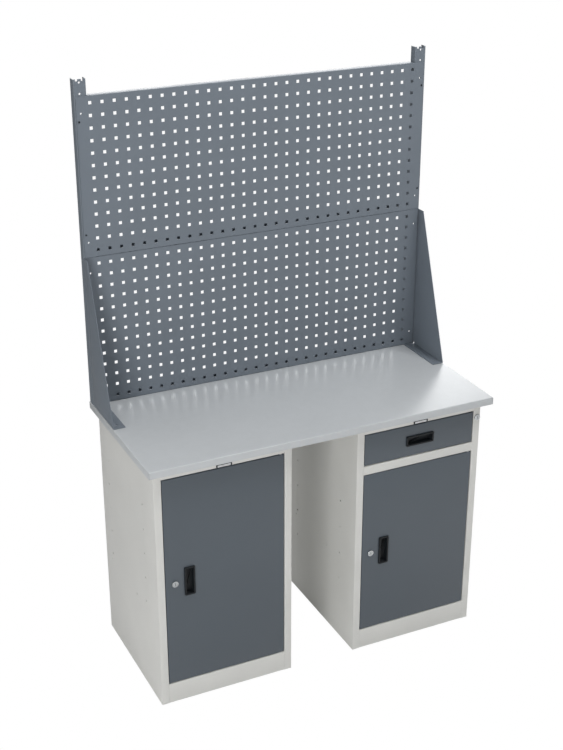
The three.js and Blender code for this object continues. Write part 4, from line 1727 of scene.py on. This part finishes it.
@dataclass(frozen=True)
class Studio:
    """Floor, light and camera."""

    camera_place: Triple = (-1.76742, -3.60664, 2.76736)
    camera_right: Triple = (0.90056, -0.43472, 0.00136)
    camera_down: Triple = (-0.17829, -0.37220, -0.91087)
    camera_forward: Triple = (0.39648, 0.82005, -0.41269)
    focal_pixels: float = 1362.06
    centre_pixels: Span = (285.56, 377.04)
    image_pixels: Span = (563.0, 750.0)
    sensor: float = 36.0
    floor_size: float = 80.0
    floor_roughness: float = 0.9
    floor_near: float = 0.78  # tone round the bench
    floor_far: float = 0.35  # tone farther out
    floor_spread: Span = (0.9, 2.2)  # distance over which the tone changes
    glow_way: Triple = (0.5, -0.87, 0.0)
    glow_spread: Span = (0.6, 1.8)
    glow: float = 0.53  # strength of the floor's glow in front
    sky_way: Triple = (0.0, 0.5, -0.8)  # towards the brightest part of the sky
    sky_spread: Span = (-0.8, 0.8)
    sky_bright: float = 1.9
    sky_dim: float = 0.03
    lamps: tuple[Lamp, ...] = (
        Lamp("key_lamp", place=(1.2, -1.3, 5.2), aim=(0.0, 0.1, 1.1), size=2.2, power=172.0),
        Lamp("side_lamp", place=(-3.05, -3.15, 1.4), aim=(-0.1, 0.0, 0.7), size=1.6, power=90.0),
        Lamp(
            "back_window", place=(2.1, 5.2, 3.4), aim=(0.1, 0.1, 1.0), size=5.0, power=190.0,
            lights_matt=False,
        ),
    )

    def build(self) -> None:
        """Set the floor, the sky, the lamps and the camera."""
        self._floor()
        self._sky()
        for lamp in self.lamps:
            lamp.hang()
        self._camera()

    def _floor(self) -> None:
        """Lay a floor that the camera sees white, and that lights the bench from in front and below."""
        start_afresh()
        bpy.ops.mesh.primitive_plane_add(size=self.floor_size)
        floor = bpy.context.object
        floor.name = "floor"
        made = bpy.data.materials.new("pale_floor")
        made.use_nodes = True
        board = NodeBoard(made.node_tree)
        place = board.add("TexCoord").outputs["Object"]
        distance = board.add("VectorMath", {0: place}, operation="LENGTH").outputs["Value"]
        shader = board.add("BsdfPrincipled", {
            "Base Color": board.ramp(distance, self.floor_spread, self.floor_near, self.floor_far),
            "Roughness": self.floor_roughness,
            "Specular IOR Level": 0.0,
            "Emission Color": WHITE,
            "Emission Strength": board.ramp(
                board.along(place, self.glow_way), self.glow_spread, 0.0, self.glow
            ),
        })
        white = board.add("Emission", {"Color": WHITE})
        board.backdrop(shader.outputs["BSDF"], white.outputs["Emission"], "OutputMaterial")
        floor.data.materials.append(made)

    def _sky(self) -> None:
        """Set a sky that the camera sees white, and that lights the bench from behind and below."""
        world = bpy.data.worlds.new("studio_sky")
        world.use_nodes = True
        board = NodeBoard(world.node_tree)
        looked_at = board.add("TexCoord").outputs["Generated"]
        height = board.along(looked_at, Vector(self.sky_way).normalized())
        fade = board.ramp(height, self.sky_spread, self.sky_dim, self.sky_bright)
        sky = board.add("Background", {"Color": WHITE, "Strength": fade})
        white = board.add("Background", {"Color": WHITE})
        board.backdrop(sky.outputs["Background"], white.outputs["Background"], "OutputWorld")
        bpy.context.scene.world = world
        bpy.context.scene.view_settings.view_transform = "Standard"

    def _camera(self) -> None:
        """Stand the camera where the photograph was taken."""
        width, height = self.image_pixels
        longest = max(width, height)
        data = bpy.data.cameras.new("camera")
        data.sensor_width = self.sensor
        data.lens = self.focal_pixels / longest * self.sensor
        data.shift_x = (width / 2 - self.centre_pixels[0]) / longest
        data.shift_y = (self.centre_pixels[1] - height / 2) / longest
        camera = bpy.data.objects.new("camera", data)
        ways = (Vector(self.camera_right), -Vector(self.camera_down), -Vector(self.camera_forward))
        turn = Matrix(ways).transposed().to_4x4()
        camera.matrix_world = Matrix.Translation(self.camera_place) @ turn
        bpy.context.scene.collection.objects.link(camera)
        bpy.context.scene.camera = camera


def main() -> None:
    """Build the bench's pieces in order, then the studio, and log each part as it is built."""
    logging.basicConfig(level=logging.INFO, format="%(name)s: %(message)s")
    left_opening = (PLINTH_TOP, OPENING_TOP)
    right_opening = (PLINTH_TOP, MID_RAIL[0])
    drawer = Drawer()
    left_cabinet = Cabinet(
        Side.LEFT, lowest_hole=0.333, hole_step=0.088, hole_count=5, hinge_levels=left_opening
    )
    right_cabinet = Cabinet(
        Side.RIGHT, lowest_hole=0.228, hole_step=0.1, hole_count=4, hinge_levels=right_opening,
        mid_rail=MID_RAIL, stile_tool=drawer.lock_tool,
    )
    parts = (
        Worktop(), left_cabinet, right_cabinet,
        Door(Side.LEFT, left_opening), Door(Side.RIGHT, right_opening), drawer,
        ToolScreen(), Studio(),
    )
    for part in parts:
        part.build()
        LOG.info("%s built", type(part).__name__)


if __name__ == "__main__":
    main()
